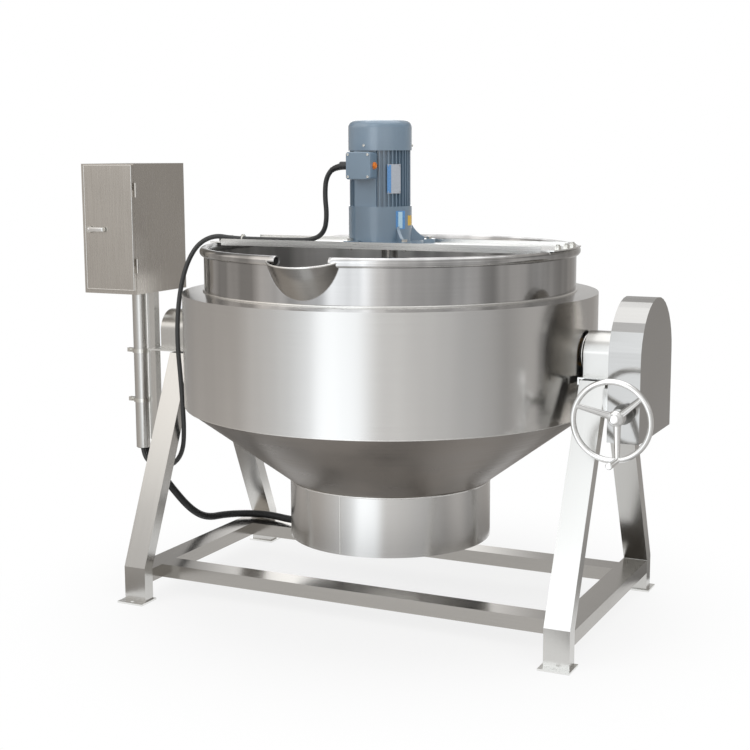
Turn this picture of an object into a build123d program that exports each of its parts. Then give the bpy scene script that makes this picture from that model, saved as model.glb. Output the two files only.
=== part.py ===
from build123d import *
import os
from math import atan, cos, hypot, pi, radians, sin, sqrt, tan

# Tilting steam jacketed kettle with a bridge-mounted agitator.
# Millimetres, +Z up, X along the trunnions, -Y the pouring side.
# Origin: on the floor, at the centre of the four anchor holes.

# ---- driving dimensions -------------------------------------------------
# pot, jacket and cladding
POT_R = 600.0            # outside radius of the inner pot
POT_WALL = 4.0
BOWL_Z = 975.0           # centre of the hemispherical bottom
RIM_Z = 1160.0           # centreline of the rolled rim
RIM_R = 598.0
RIM_TUBE_R = 15.0
RIM_TUBE_WALL = 2.0
JACKET_R = 625.0         # outside radius of the steam jacket
SUMP_R = 170.0           # heater sump under the jacket
SUMP_Z = 300.0
SHELL_R = 672.0          # cladding
SHELL_WALL = 2.5
SHELL_TOP_Z = 1028.0
SHELL_BOTTOM_Z = 665.0
SHOULDER_RISE = 6.0
SKIRT_R = 331.0
SKIRT_TOP_Z = 412.0
SKIRT_BOTTOM_Z = 221.0

# pouring spout: a leaning half pipe, cut off by a sloping lip
SPOUT_R = 128.0
SPOUT_REACH = 66.0       # how far the lip stands out from the pot
SPOUT_LIP_Z = 1147.0
SPOUT_APEX_Z = 1048.0    # where the half pipe leaves the pot wall
SPOUT_TOP_Z = 1172.0
SPOUT_WALL = 3.0
LIP_SLOPE = 0.2          # fall of the lip per millimetre of reach
RIM_GAP_ANGLE = 10.0     # half of the gap in the rim, over the spout

# trunnions and tilting drive
TRUNNION_Z = 860.0
SHAFT_R = 35.0
BOSS_R = 55.0
RUNNING_GAP = 0.05
MODULE = 4.0
WHEEL_TEETH = 63
WHEEL_FACE = 32.0
WORM_PITCH_R = 24.0
ADDENDUM = 0.9 * MODULE
DEDENDUM = 1.2 * MODULE
WORM_X = 838.0
WORM_Z = TRUNNION_Z - MODULE * WHEEL_TEETH / 2 - WORM_PITCH_R
TOOTH_SHARE = 0.38       # tooth thickness over pitch, thin enough for a straight-cut wheel

# base frame
LEG_X = 730.0            # centre of each leg across the trunnions
LEG_FACE_Y = 436.0       # outer face of each foot stub
TUBE_W = 80.0
TUBE_T = 44.0
TUBE_WALL = 3.0
BEND_Z = 118.0
LEG_TOP_Y = 138.0        # outer face of the leg under the seat
FOOT_T = 6.0
RAIL_Z = 86.0
CROSS_RAIL_Y = 295.0
SEAT_Z = 800.0
SEAT_T = 5.0
SEAT_HALF_DEPTH = 115.0
SEAT_INNER_X = 676.0
SEAT_LEFT_END = 873.0
ANCHOR_X = 731.5
ANCHOR_Y = 452.0
ANCHOR_R = 7.0

# bearing covers and gear case
COVER_R = 72.0
COVER_TOP_Z = 930.0
COVER_INNER_X = 680.0
COVER_LEFT_END = 850.0
SHEET = 2.0
CASE_R = 179.0
CASE_X0 = 789.0
CASE_X1 = 886.0
CASE_BOTTOM_Z = 622.0
CASE_SEAM_Z = 825.0
CASE_FACETS = 18         # brake bends round the top of the case

# handwheel
HUB_FRONT_Y = -268.0
HUB_R = 24.0
HUB_LENGTH = 36.0
WHEEL_RIM_Y = -300.0
WHEEL_RIM_R = 114.0
WHEEL_TUBE_R = 8.5
SPOKE_ANGLES = (160.0, 40.0, -80.0)
SPOKE_ROOT_R = 11.0
SPOKE_TIP_R = 7.5
KNOB_LENGTH = 78.0

# control box on its post
BOX_X0 = -1087.0
BOX_X1 = -870.0
BOX_Y0 = -178.0
BOX_Y1 = 125.0
BOX_Z0 = 993.0
BOX_Z1 = 1436.0
BOX_SHEET = 2.0
DOOR_DEPTH = 14.0
POST_X = -888.0
POST_Y = -60.0
POST_SIDE = 30.0
POST_BOTTOM_Z = 470.0
PIPE_X = -930.0
PIPE_Y = -80.0
PIPE_R = 25.5
PIPE_WALL = 2.0
PIPE_BOTTOM_Z = 442.0
PIPE_STAND = 8.0         # the pipe stands this far into the box
CLAMP_ZS = (605.0, 780.0)

# bridge and gear motor
DECK_HALF = 130.0
DECK_T = 4.0
DECK_Z = 1175.0
EDGE_STRIP_T = 3.0
EDGE_STRIP_H = 22.0
EDGE_STRIP_DROP = 8.0    # how far the strips hang below the deck
MOTOR_X = -34.0          # the motor sits off the output shaft by the gear offset
FLANGE_R = 112.0
FLANGE_T = 12.0
FLANGE_BOLT = 192.0      # spacing of the flange bolts
EAR_R = 21.0             # bolt ears of the flange
GEARBOX_R = 103.0
GEARBOX_TOP_Z = 1300.0
STATOR_R = 98.0
STATOR_TOP_Z = 1476.0
FIN_COUNT = 44
COWL_R = 103.0
COWL_TOP_Z = 1572.0
TERMINAL_BOX = (84.0, 45.0, 84.0)
TERMINAL_X = -42.0
TERMINAL_Z = 1429.0

# agitator
AGITATOR_SHAFT_R = 20.0
COUPLING_R = 27.0
ANCHOR_BAR = 26.0
ANCHOR_BAR_T = 12.0
ANCHOR_BAR_R = 552.0     # inside radius of the anchor bar
ANCHOR_TOP_Z = 1090.0
SCRAPER_R = 593.0

# cables
MOTOR_CABLE_D = 16.0
CONDUIT_D = 27.0


# ---- helpers ------------------------------------------------------------
def save(piece, name):
    """Label a finished piece and write it as its own STEP file."""
    piece.part.label = name
    export_step(piece.part, f"parts/{name}.step")


def on_bowl(radius, angle):
    """Point of a bowl-centred circle, angle measured down from level."""
    return (radius * cos(angle), BOWL_Z - radius * sin(angle))


def corner_radii(points, share=0.45):
    """Largest tangent arc at each corner of a cable route."""
    radii = []
    for a, b, c in zip(points, points[1:], points[2:]):
        first, second = Vector(*b) - Vector(*a), Vector(*c) - Vector(*b)
        turn = radians(first.get_angle(second))
        radii.append(share * min(first.length, second.length) / tan(turn / 2))
    return radii


def cable(points, diameter, name):
    """A plain round cable along straight runs and tangent arcs."""
    radii = corner_radii(points)
    with BuildPart() as tube:
        with BuildLine():
            route = FilletPolyline(*points, radius=radii)
        with BuildSketch(Plane(origin=route @ 0, z_dir=route % 0)):
            Circle(diameter / 2)
        sweep(path=route)
    length = route.length
    true_volume = pi * diameter**2 / 4 * length
    print(f"{name}: length {length:.0f}, radii {[round(r) for r in radii]},"
          f" volume ratio {tube.part.volume / true_volume:.4f}")
    save(tube, name)


os.makedirs("parts", exist_ok=True)


# ---- base frame ---------------------------------------------------------
LEG_RISE = SEAT_Z - SEAT_T - BEND_Z
LEG_SLOPE = (LEG_FACE_Y - LEG_TOP_Y) / LEG_RISE
LEG_LEVEL_T = TUBE_T * sqrt(1 + LEG_SLOPE**2)


def leg_outline(inset, end):
    """Side view of a bent leg in Y and Z, drawn for the +Y side."""
    slanted = inset * sqrt(1 + LEG_SLOPE**2)
    outer, inner = LEG_FACE_Y - inset, LEG_FACE_Y - TUBE_T + inset
    top = SEAT_Z - SEAT_T + end
    reach = (top - BEND_Z) * LEG_SLOPE
    outer_top = LEG_FACE_Y - slanted - reach
    inner_top = LEG_FACE_Y - LEG_LEVEL_T + slanted - reach
    outer_bend = top - (outer - outer_top) / LEG_SLOPE
    inner_bend = top - (inner - inner_top) / LEG_SLOPE
    bottom = FOOT_T - end
    return [
        (outer, bottom), (outer, outer_bend), (outer_top, top),
        (inner_top, top), (inner, inner_bend), (inner, bottom),
    ]


for side, x_sign in (("left", -1), ("right", 1)):
    for end, y_sign in (("front", -1), ("rear", 1)):
        middle = Plane.YZ.offset(x_sign * LEG_X)
        with BuildPart() as leg:
            with BuildSketch(middle):
                Polygon(*[(y_sign * y, z) for y, z in leg_outline(0, 0)], align=None)
            extrude(amount=TUBE_W / 2, both=True)
            with BuildSketch(middle):
                Polygon(*[(y_sign * y, z) for y, z in leg_outline(TUBE_WALL, 1)], align=None)
            extrude(amount=TUBE_W / 2 - TUBE_WALL, both=True, mode=Mode.SUBTRACT)
        save(leg, f"{end}_{side}_leg")

with BuildPart() as side_rails:
    with BuildSketch(Plane.XZ):
        with GridLocations(2 * LEG_X, 0, 2, 1):
            with Locations((0, RAIL_Z)):
                Rectangle(TUBE_W, TUBE_T)
                Rectangle(TUBE_W - 2 * TUBE_WALL, TUBE_T - 2 * TUBE_WALL, mode=Mode.SUBTRACT)
    extrude(amount=LEG_FACE_Y - TUBE_T, both=True)
save(side_rails, "side_rails")

with BuildPart() as cross_rails:
    with BuildSketch(Plane.YZ):
        with GridLocations(2 * CROSS_RAIL_Y, 0, 2, 1):
            with Locations((0, RAIL_Z)):
                Rectangle(TUBE_W, TUBE_T)
                Rectangle(TUBE_W - 2 * TUBE_WALL, TUBE_T - 2 * TUBE_WALL, mode=Mode.SUBTRACT)
    extrude(amount=LEG_X - TUBE_W / 2, both=True)
save(cross_rails, "cross_rails")

FOOT_X = (683.0, 780.0)
FOOT_Y = (384.0, 468.0)
foot_size = (FOOT_X[1] - FOOT_X[0], FOOT_Y[1] - FOOT_Y[0])
foot_centre = ((FOOT_X[0] + FOOT_X[1]) / 2, (FOOT_Y[0] + FOOT_Y[1]) / 2)
with BuildPart() as foot_plates:
    with BuildSketch():
        with GridLocations(2 * foot_centre[0], 2 * foot_centre[1], 2, 2):
            Rectangle(*foot_size)
        with GridLocations(2 * ANCHOR_X, 2 * ANCHOR_Y, 2, 2):
            Circle(ANCHOR_R, mode=Mode.SUBTRACT)
    extrude(amount=FOOT_T)
save(foot_plates, "foot_plates")

LIP_DROP = 22.0
for side, x_sign, outer_x in (("left", -1, SEAT_LEFT_END), ("right", 1, CASE_X0)):
    inner, top = SEAT_INNER_X, SEAT_Z
    with BuildPart() as seat_plate:
        with BuildSketch(Plane.XZ):
            Polygon(
                *[(x_sign * x, z) for x, z in (
                    (outer_x, top), (inner, top), (inner, top - LIP_DROP),
                    (inner + SEAT_T, top - LIP_DROP), (inner + SEAT_T, top - SEAT_T),
                    (outer_x, top - SEAT_T))],
                align=None,
            )
        extrude(amount=SEAT_HALF_DEPTH, both=True)
    save(seat_plate, f"{side}_seat_plate")


# ---- trunnion bearings and their covers ---------------------------------
BLOCK_X = 735.0
BLOCK_T = 60.0
BLOCK_R = 56.0
BLOCK_BASE = (132.0, 16.0)
BUSH_R = 43.0
cover_centre_z = COVER_TOP_Z - COVER_R

for side, x_sign in (("left", -1), ("right", 1)):
    with BuildPart() as bearing_block:
        with BuildSketch(Plane.YZ.offset(x_sign * BLOCK_X)):
            with Locations((0, TRUNNION_Z)):
                Circle(BLOCK_R)
            with Locations((0, SEAT_Z)):
                Rectangle(2 * BLOCK_R, TRUNNION_Z - SEAT_Z, align=(Align.CENTER, Align.MIN))
                Rectangle(*BLOCK_BASE, align=(Align.CENTER, Align.MIN))
            with Locations((0, TRUNNION_Z)):
                Circle(BUSH_R, mode=Mode.SUBTRACT)
        extrude(amount=BLOCK_T / 2, both=True)
    save(bearing_block, f"{side}_bearing_block")

with BuildPart() as bearing_bushes:
    for x_sign in (-1, 1):
        with BuildSketch(Plane.YZ.offset(x_sign * BLOCK_X)):
            with Locations((0, TRUNNION_Z)):
                Circle(BUSH_R)
                Circle(SHAFT_R + RUNNING_GAP, mode=Mode.SUBTRACT)
        extrude(amount=BLOCK_T / 2, both=True)
save(bearing_bushes, "bearing_bushes")


def arch(radius, spring_z, bottom_z):
    """Closed arch outline in Y and Z: two straight sides and a half-round top."""
    with BuildLine() as outline:
        Line((-radius, bottom_z), (-radius, spring_z))
        ThreePointArc((-radius, spring_z), (0, spring_z + radius), (radius, spring_z))
        Line((radius, spring_z), (radius, bottom_z))
        Line((radius, bottom_z), (-radius, bottom_z))
    make_face(outline.edges())


def braked_arch(radius, spring_z, bottom_z):
    """The same arch with its top bent in flats, as a brake press leaves it."""
    turns = [pi * step / CASE_FACETS for step in range(CASE_FACETS + 1)]
    with BuildLine() as outline:
        Polyline(
            (radius, bottom_z),
            *[(radius * cos(turn), spring_z + radius * sin(turn)) for turn in turns],
            (-radius, bottom_z),
            close=True,
        )
    make_face(outline.edges())


COVER_SPANS = (
    ("left", -COVER_LEFT_END, -COVER_INNER_X, -COVER_LEFT_END + SHEET, -COVER_INNER_X),
    ("right", COVER_INNER_X, CASE_X0, COVER_INNER_X, CASE_X0),
)
for side, x0, x1, inner_x0, inner_x1 in COVER_SPANS:
    with BuildPart() as bearing_cover:
        with BuildSketch(Plane.YZ.offset(x0)):
            arch(COVER_R, cover_centre_z, SEAT_Z)
        extrude(amount=x1 - x0)
        with BuildSketch(Plane.YZ.offset(inner_x0)):
            arch(COVER_R - SHEET, cover_centre_z, SEAT_Z)
        extrude(amount=inner_x1 - inner_x0, mode=Mode.SUBTRACT)
    save(bearing_cover, f"{side}_bearing_cover")


# ---- gear case ----------------------------------------------------------
CASE_HOLE_R = 44.0
SHAFT_HOLE_R = 16.0      # the worm shaft leaves through the front wall
case_top_z = TRUNNION_Z + CASE_R

with BuildPart() as gear_case_back:
    with BuildSketch(Plane.YZ.offset(CASE_X0)):
        braked_arch(CASE_R - SHEET, TRUNNION_Z, CASE_BOTTOM_Z)
        with Locations((0, TRUNNION_Z)):
            Circle(CASE_HOLE_R, mode=Mode.SUBTRACT)
    extrude(amount=SHEET)
save(gear_case_back, "gear_case_back")

for part_name, low, high in (
    ("gear_case_hood", CASE_SEAM_Z, case_top_z),
    ("gear_case_body", CASE_BOTTOM_Z, CASE_SEAM_Z),
):
    with BuildPart() as gear_case:
        with BuildSketch(Plane.YZ.offset(CASE_X0)):
            braked_arch(CASE_R, TRUNNION_Z, CASE_BOTTOM_Z)
            with Locations((0, low)):
                Rectangle(
                    2 * CASE_R, high - low, align=(Align.CENTER, Align.MIN), mode=Mode.INTERSECT
                )
        extrude(amount=CASE_X1 - CASE_X0)
        with BuildSketch(Plane.YZ.offset(CASE_X0)):
            braked_arch(CASE_R - SHEET, TRUNNION_Z, CASE_BOTTOM_Z)
        extrude(amount=CASE_X1 - CASE_X0 - SHEET, mode=Mode.SUBTRACT)
        with BuildSketch(Plane.XZ.offset(CASE_R)):
            with Locations((WORM_X, WORM_Z)):
                Circle(SHAFT_HOLE_R)
        extrude(amount=-2 * SHEET, mode=Mode.SUBTRACT)
    save(gear_case, part_name)

MOUNT_Z = (700.0, 780.0)
MOUNT_DEPTH = 330.0
MOUNT_WINDOW = (200.0, 44.0)
with BuildPart() as gear_case_mount:
    with BuildSketch(Plane.YZ.offset(LEG_X + TUBE_W / 2)):
        with Locations((0, sum(MOUNT_Z) / 2)):
            Rectangle(MOUNT_DEPTH, MOUNT_Z[1] - MOUNT_Z[0])
            Rectangle(*MOUNT_WINDOW, mode=Mode.SUBTRACT)
    extrude(amount=CASE_X0 - LEG_X - TUBE_W / 2)
save(gear_case_mount, "gear_case_mount")


# ---- worm and worm wheel ------------------------------------------------
wheel_pitch_r = MODULE * WHEEL_TEETH / 2
wheel_tip_r = wheel_pitch_r + ADDENDUM
wheel_root_r = wheel_pitch_r - DEDENDUM
worm_pitch = pi * MODULE
PRESSURE = radians(20)
half_tooth = TOOTH_SHARE * worm_pitch / 2
root_half = half_tooth + DEDENDUM * tan(PRESSURE)
tip_half = half_tooth - ADDENDUM * tan(PRESSURE)
TOOTH_SINK = 1.0         # how far a tooth is sunk into its core
LIGHTENING_HOLES = (78.0, 6, 20.0)


def tooth(root_r, tip_r):
    """Rack tooth profile standing along X, sunk a little into the root."""
    Polygon(
        (root_r - TOOTH_SINK, -root_half), (tip_r, -tip_half),
        (tip_r, tip_half), (root_r - TOOTH_SINK, root_half),
        align=None,
    )


with BuildPart() as worm_wheel:
    with BuildSketch(Plane.YZ.offset(WORM_X)):
        with Locations((0, TRUNNION_Z)):
            Circle(wheel_root_r)
            with PolarLocations(0, WHEEL_TEETH, start_angle=-90):
                tooth(wheel_root_r, wheel_tip_r)
            Circle(SHAFT_R, mode=Mode.SUBTRACT)
            hole_ring_r, hole_count, hole_r = LIGHTENING_HOLES
            with PolarLocations(hole_ring_r, hole_count):
                Circle(hole_r, mode=Mode.SUBTRACT)
    extrude(amount=WHEEL_FACE / 2, both=True)
save(worm_wheel, "worm_wheel")

WORM_LENGTH = 84.0
WORM_SHAFT_R = 14.0
WORM_SHAFT_END_Y = HUB_FRONT_Y + 12.0
THREAD_TURNS = 5
PEDESTAL_Y = 78.0
PEDESTAL_T = 24.0
PEDESTAL_R = 26.0
PEDESTAL_DROP = 36.0
BASE_T = 10.0
BASE_HALF_X = 32.0
worm_root_r = WORM_PITCH_R - DEDENDUM
thread_rise = THREAD_TURNS * worm_pitch
thread_start = (WORM_X, thread_rise / 2, WORM_Z)
shaft_back_y = PEDESTAL_Y + PEDESTAL_T / 2 + 4.0

with BuildPart() as worm_thread:
    with BuildLine():
        thread_path = Helix(pitch=worm_pitch, height=thread_rise, radius=worm_root_r)
    with BuildSketch(Plane(origin=thread_path @ 0, x_dir=(1, 0, 0), z_dir=thread_path % 0)):
        tooth(0, ADDENDUM + DEDENDUM)
    sweep(path=thread_path, is_frenet=True)

with BuildPart() as worm_shaft:
    with BuildSketch(Plane.XZ.offset(-shaft_back_y)):
        with Locations((WORM_X, WORM_Z)):
            Circle(WORM_SHAFT_R)
    extrude(amount=shaft_back_y - WORM_SHAFT_END_Y)
    with BuildSketch(Plane.XZ.offset(-WORM_LENGTH / 2)):
        with Locations((WORM_X, WORM_Z)):
            Circle(worm_root_r)
    extrude(amount=WORM_LENGTH)
    with Locations(Plane(origin=thread_start, x_dir=(0, 0, 1), z_dir=(0, -1, 0)).location):
        add(worm_thread.part)
save(worm_shaft, "worm_shaft")

base_x = (CASE_X0 + SHEET, WORM_X + BASE_HALF_X)
with BuildPart() as worm_housing:
    with BuildSketch(Plane.XY.offset(WORM_Z - PEDESTAL_DROP)):
        with Locations((sum(base_x) / 2, 0)):
            Rectangle(base_x[1] - base_x[0], 2 * PEDESTAL_Y + PEDESTAL_T)
    extrude(amount=-BASE_T)
    for y_sign in (-1, 1):
        with BuildSketch(Plane.XZ.offset(-y_sign * PEDESTAL_Y)):
            with Locations((WORM_X, WORM_Z)):
                Circle(PEDESTAL_R)
                Rectangle(2 * PEDESTAL_R, PEDESTAL_DROP, align=(Align.CENTER, Align.MAX))
        extrude(amount=PEDESTAL_T / 2, both=True)
    with BuildSketch(Plane.XZ.offset(-(PEDESTAL_Y + PEDESTAL_T))):
        with Locations((WORM_X, WORM_Z)):
            Circle(WORM_SHAFT_R + RUNNING_GAP)
    extrude(amount=2 * (PEDESTAL_Y + PEDESTAL_T), mode=Mode.SUBTRACT)
save(worm_housing, "worm_housing")


# ---- handwheel ----------------------------------------------------------
HUB_ROUND = 9.0
KNOB_PIN_R = 4.0
KNOB_HEAD_R = 6.5
KNOB_HEAD = 2.0
KNOB_R = (8.0, 10.5)     # at the wheel and at the free end
KNOB_PLAY = 0.4          # end play of the knob on its pin
knob_base_y = WHEEL_RIM_Y - WHEEL_TUBE_R - KNOB_PLAY
knob_end_y = knob_base_y - KNOB_LENGTH
knob_angle = radians(SPOKE_ANGLES[2])
knob_x = WORM_X + WHEEL_RIM_R * cos(knob_angle)
knob_z = WORM_Z + WHEEL_RIM_R * sin(knob_angle)

with BuildPart() as handwheel:
    with BuildSketch():
        with Locations((WORM_X + WHEEL_RIM_R, WHEEL_RIM_Y)):
            Circle(WHEEL_TUBE_R)
    revolve(axis=Axis((WORM_X, 0, 0), (0, 1, 0)))
    with BuildSketch(Plane.XZ.offset(-HUB_FRONT_Y)):
        with Locations((WORM_X, 0)):
            Circle(HUB_R)
    extrude(amount=-HUB_LENGTH)
    front_edge = handwheel.edges().filter_by(
        lambda e: e.geom_type == GeomType.CIRCLE and abs(e.radius - HUB_R) < 0.1
    ).sort_by(Axis.Y)[0]
    fillet(front_edge, radius=HUB_ROUND)
    for angle in SPOKE_ANGLES:
        out = Vector(cos(radians(angle)), 0, sin(radians(angle)))
        root = Vector(WORM_X, HUB_FRONT_Y + HUB_LENGTH / 2, 0) + out * (HUB_R / 2)
        tip = Vector(WORM_X, WHEEL_RIM_Y, 0) + out * (WHEEL_RIM_R - WHEEL_TUBE_R / 2)
        for centre, radius in ((root, SPOKE_ROOT_R), (tip, SPOKE_TIP_R)):
            with BuildSketch(Plane(origin=centre, z_dir=tip - root)):
                Circle(radius)
        loft()
    with BuildSketch(Plane.XZ.offset(-WHEEL_RIM_Y)):
        with Locations((knob_x, knob_z - WORM_Z)):
            Circle(KNOB_PIN_R)
    extrude(amount=WHEEL_RIM_Y - knob_end_y + 2 * KNOB_PLAY)
    with BuildSketch(Plane.XZ.offset(KNOB_PLAY - knob_end_y)):
        with Locations((knob_x, knob_z - WORM_Z)):
            Circle(KNOB_HEAD_R)
    extrude(amount=KNOB_HEAD)
    with BuildSketch(Plane.XZ.offset(-WORM_SHAFT_END_Y)):
        with Locations((WORM_X, 0)):
            Circle(WORM_SHAFT_R)
    extrude(amount=-HUB_LENGTH, mode=Mode.SUBTRACT)
handwheel.part.position = (0, 0, WORM_Z)
save(handwheel, "handwheel")

with BuildPart() as crank_knob:
    for y, radius in zip((knob_base_y, knob_end_y), KNOB_R):
        with BuildSketch(Plane.XZ.offset(-y)):
            with Locations((knob_x, knob_z)):
                Circle(radius)
    loft()
    with BuildSketch(Plane.XZ.offset(-knob_base_y)):
        with Locations((knob_x, knob_z)):
            Circle(KNOB_PIN_R + RUNNING_GAP)
    extrude(amount=KNOB_LENGTH, mode=Mode.SUBTRACT)
    end_edge = crank_knob.edges().filter_by(
        lambda e: e.geom_type == GeomType.CIRCLE and e.radius > KNOB_PIN_R + 1
    ).sort_by(Axis.Y)[0]
    fillet(end_edge, radius=KNOB_R[1] - KNOB_HEAD_R - 1)
save(crank_knob, "crank_knob")

COLLAR_R = 30.0
COLLAR_T = 9.0
with BuildPart() as shaft_collar:
    with BuildSketch(Plane.XZ.offset(CASE_R)):
        with Locations((WORM_X, WORM_Z)):
            Circle(COLLAR_R)
            Circle(WORM_SHAFT_R + RUNNING_GAP, mode=Mode.SUBTRACT)
    extrude(amount=COLLAR_T)
save(shaft_collar, "shaft_collar")


# ---- control box, post and conduit pipe ---------------------------------
POST_WALL = 2.5
with BuildPart() as box_post:
    with BuildSketch(Plane.XY.offset(POST_BOTTOM_Z)):
        with Locations((POST_X, POST_Y)):
            Rectangle(POST_SIDE, POST_SIDE)
            Rectangle(POST_SIDE - 2 * POST_WALL, POST_SIDE - 2 * POST_WALL, mode=Mode.SUBTRACT)
    extrude(amount=BOX_Z0 - POST_BOTTOM_Z)
save(box_post, "box_post")

with BuildPart() as conduit_pipe:
    with BuildSketch(Plane.XY.offset(PIPE_BOTTOM_Z)):
        with Locations((PIPE_X, PIPE_Y)):
            Circle(PIPE_R)
            Circle(PIPE_R - PIPE_WALL, mode=Mode.SUBTRACT)
    extrude(amount=BOX_Z0 + PIPE_STAND - PIPE_BOTTOM_Z)
save(conduit_pipe, "conduit_pipe")

CLAMP_HEIGHT = 14.0
CLAMP_BAND = 4.0
EAR_LENGTH = 24.0
EAR_WIDTH = 14.0
EAR_SLIT = 4.0
CLAMP_BOLT_R = 5.0
CLAMP_BOLT_LENGTH = 24.0
clamp_reach = PIPE_R + CLAMP_BAND + EAR_LENGTH
with BuildPart() as pipe_clamps:
    for clamp_z in CLAMP_ZS:
        with BuildSketch(Plane.XY.offset(clamp_z)):
            with Locations((PIPE_X, PIPE_Y)):
                Circle(PIPE_R + CLAMP_BAND)
                Rectangle(clamp_reach, EAR_WIDTH, align=(Align.MAX, Align.CENTER))
                Rectangle(
                    clamp_reach, EAR_SLIT, align=(Align.MAX, Align.CENTER), mode=Mode.SUBTRACT
                )
                Circle(PIPE_R, mode=Mode.SUBTRACT)
            with Locations((POST_X, POST_Y)):
                Rectangle(POST_SIDE, POST_SIDE, mode=Mode.SUBTRACT)
        extrude(amount=CLAMP_HEIGHT)
        with BuildSketch(Plane.XZ.offset(-PIPE_Y)):
            with Locations((PIPE_X - clamp_reach + EAR_LENGTH / 2, clamp_z + CLAMP_HEIGHT / 2)):
                RegularPolygon(CLAMP_BOLT_R, 6)
        extrude(amount=CLAMP_BOLT_LENGTH / 2, both=True)
save(pipe_clamps, "pipe_clamps")

box_size = (BOX_X1 - BOX_X0, BOX_Y1 - BOX_Y0, BOX_Z1 - BOX_Z0)
box_mid_x = (BOX_X0 + BOX_X1) / 2
box_mid_y = (BOX_Y0 + BOX_Y1) / 2
box_mid_z = (BOX_Z0 + BOX_Z1) / 2
OPENING_X = (-1062.0, -884.0)
OPENING_Z = (1022.0, 1420.0)
with BuildPart() as control_box:
    with Locations((box_mid_x, box_mid_y, box_mid_z)):
        Box(*box_size)
        Box(*[size - 2 * BOX_SHEET for size in box_size], mode=Mode.SUBTRACT)
    with BuildSketch(Plane.XZ.offset(-BOX_Y0)):
        with Locations((sum(OPENING_X) / 2, sum(OPENING_Z) / 2)):
            Rectangle(OPENING_X[1] - OPENING_X[0], OPENING_Z[1] - OPENING_Z[0])
    extrude(amount=-BOX_SHEET, mode=Mode.SUBTRACT)
    with BuildSketch(Plane.XY.offset(BOX_Z0)):
        with Locations((PIPE_X, PIPE_Y)):
            Circle(PIPE_R)
    extrude(amount=BOX_SHEET, mode=Mode.SUBTRACT)
save(control_box, "control_box")

DOOR_X = (-1068.0, -871.0)
DOOR_Z = (1008.0, 1432.0)
DOOR_GAP = 0.5
LATCH_X = -1046.0
LATCH_Z = 1214.0
LATCH_R = 7.0
LATCH_GRIP = (76.0, 16.0)
LATCH_GRIP_T = 7.0
LATCH_GRIP_OFF = 28.0    # grip centre from the spindle
LATCH_STAND = 3.0
LATCH_BOSS_R = 12.0
LATCH_TONGUE = (24.0, 14.0)
LATCH_TONGUE_T = 3.0
door_size = (DOOR_X[1] - DOOR_X[0], DOOR_Z[1] - DOOR_Z[0])
door_mid = (sum(DOOR_X) / 2, sum(DOOR_Z) / 2)
with BuildPart() as box_door:
    with BuildSketch(Plane.XZ.offset(DOOR_GAP - BOX_Y0)):
        with Locations(door_mid):
            Rectangle(*door_size)
    extrude(amount=DOOR_DEPTH)
    with BuildSketch(Plane.XZ.offset(DOOR_GAP - BOX_Y0)):
        with Locations(door_mid):
            Rectangle(door_size[0] - 2 * BOX_SHEET, door_size[1] - 2 * BOX_SHEET)
    extrude(amount=DOOR_DEPTH - BOX_SHEET, mode=Mode.SUBTRACT)
    with BuildSketch(Plane.XZ.offset(DOOR_GAP - BOX_Y0)):
        with Locations((LATCH_X, LATCH_Z)):
            Circle(LATCH_R + RUNNING_GAP)
    extrude(amount=DOOR_DEPTH, mode=Mode.SUBTRACT)
save(box_door, "box_door")

door_front_y = BOX_Y0 - DOOR_GAP - DOOR_DEPTH
with BuildPart() as door_latch:
    with BuildSketch(Plane.XZ.offset(-BOX_Y0 + DOOR_GAP)):
        with Locations((LATCH_X, LATCH_Z)):
            Circle(LATCH_R)
    extrude(amount=DOOR_DEPTH + LATCH_STAND + LATCH_GRIP_T)
    with BuildSketch(Plane.XZ.offset(-door_front_y + LATCH_STAND)):
        with Locations((LATCH_X, LATCH_Z)):
            Circle(LATCH_BOSS_R)
        with Locations((LATCH_X + LATCH_GRIP_OFF, LATCH_Z)):
            SlotOverall(*LATCH_GRIP)
    extrude(amount=LATCH_GRIP_T)
    with BuildSketch(Plane.XZ.offset(-BOX_Y0 + DOOR_GAP)):
        with Locations((LATCH_X, LATCH_Z)):
            SlotOverall(*LATCH_TONGUE, rotation=90)
    extrude(amount=LATCH_TONGUE_T)
save(door_latch, "door_latch")

HINGE_X = -864.5
HINGE_R = 5.0
HINGE_PIN_R = 2.5
HINGE_ZS = (1092.0, 1348.0)
HINGE_LEAF = (2.2, 30.0)
HINGE_GAP = 0.4
KNUCKLE = 24.0
with BuildPart() as hinge_brackets:
    for hinge_z in HINGE_ZS:
        with BuildSketch(Plane.XY.offset(hinge_z)):
            with Locations((HINGE_X, BOX_Y0)):
                Circle(HINGE_R)
            with Locations((BOX_X1, BOX_Y0)):
                Rectangle(*HINGE_LEAF, align=(Align.MIN, Align.MIN))
            with Locations((HINGE_X, BOX_Y0)):
                Circle(HINGE_PIN_R + RUNNING_GAP, mode=Mode.SUBTRACT)
        extrude(amount=KNUCKLE)
save(hinge_brackets, "hinge_brackets")

with BuildPart() as door_hinges:
    for hinge_z in HINGE_ZS:
        with BuildSketch(Plane.XY.offset(hinge_z - KNUCKLE - HINGE_GAP)):
            with Locations((HINGE_X, BOX_Y0)):
                Circle(HINGE_R)
            with Locations((DOOR_X[1], BOX_Y0 - DOOR_GAP)):
                Rectangle(HINGE_LEAF[0], DOOR_DEPTH, align=(Align.MIN, Align.MAX))
        extrude(amount=KNUCKLE)
        with BuildSketch(Plane.XY.offset(hinge_z - KNUCKLE)):
            with Locations((HINGE_X, BOX_Y0)):
                Circle(HINGE_PIN_R)
        extrude(amount=2 * KNUCKLE)
save(door_hinges, "door_hinges")

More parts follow.
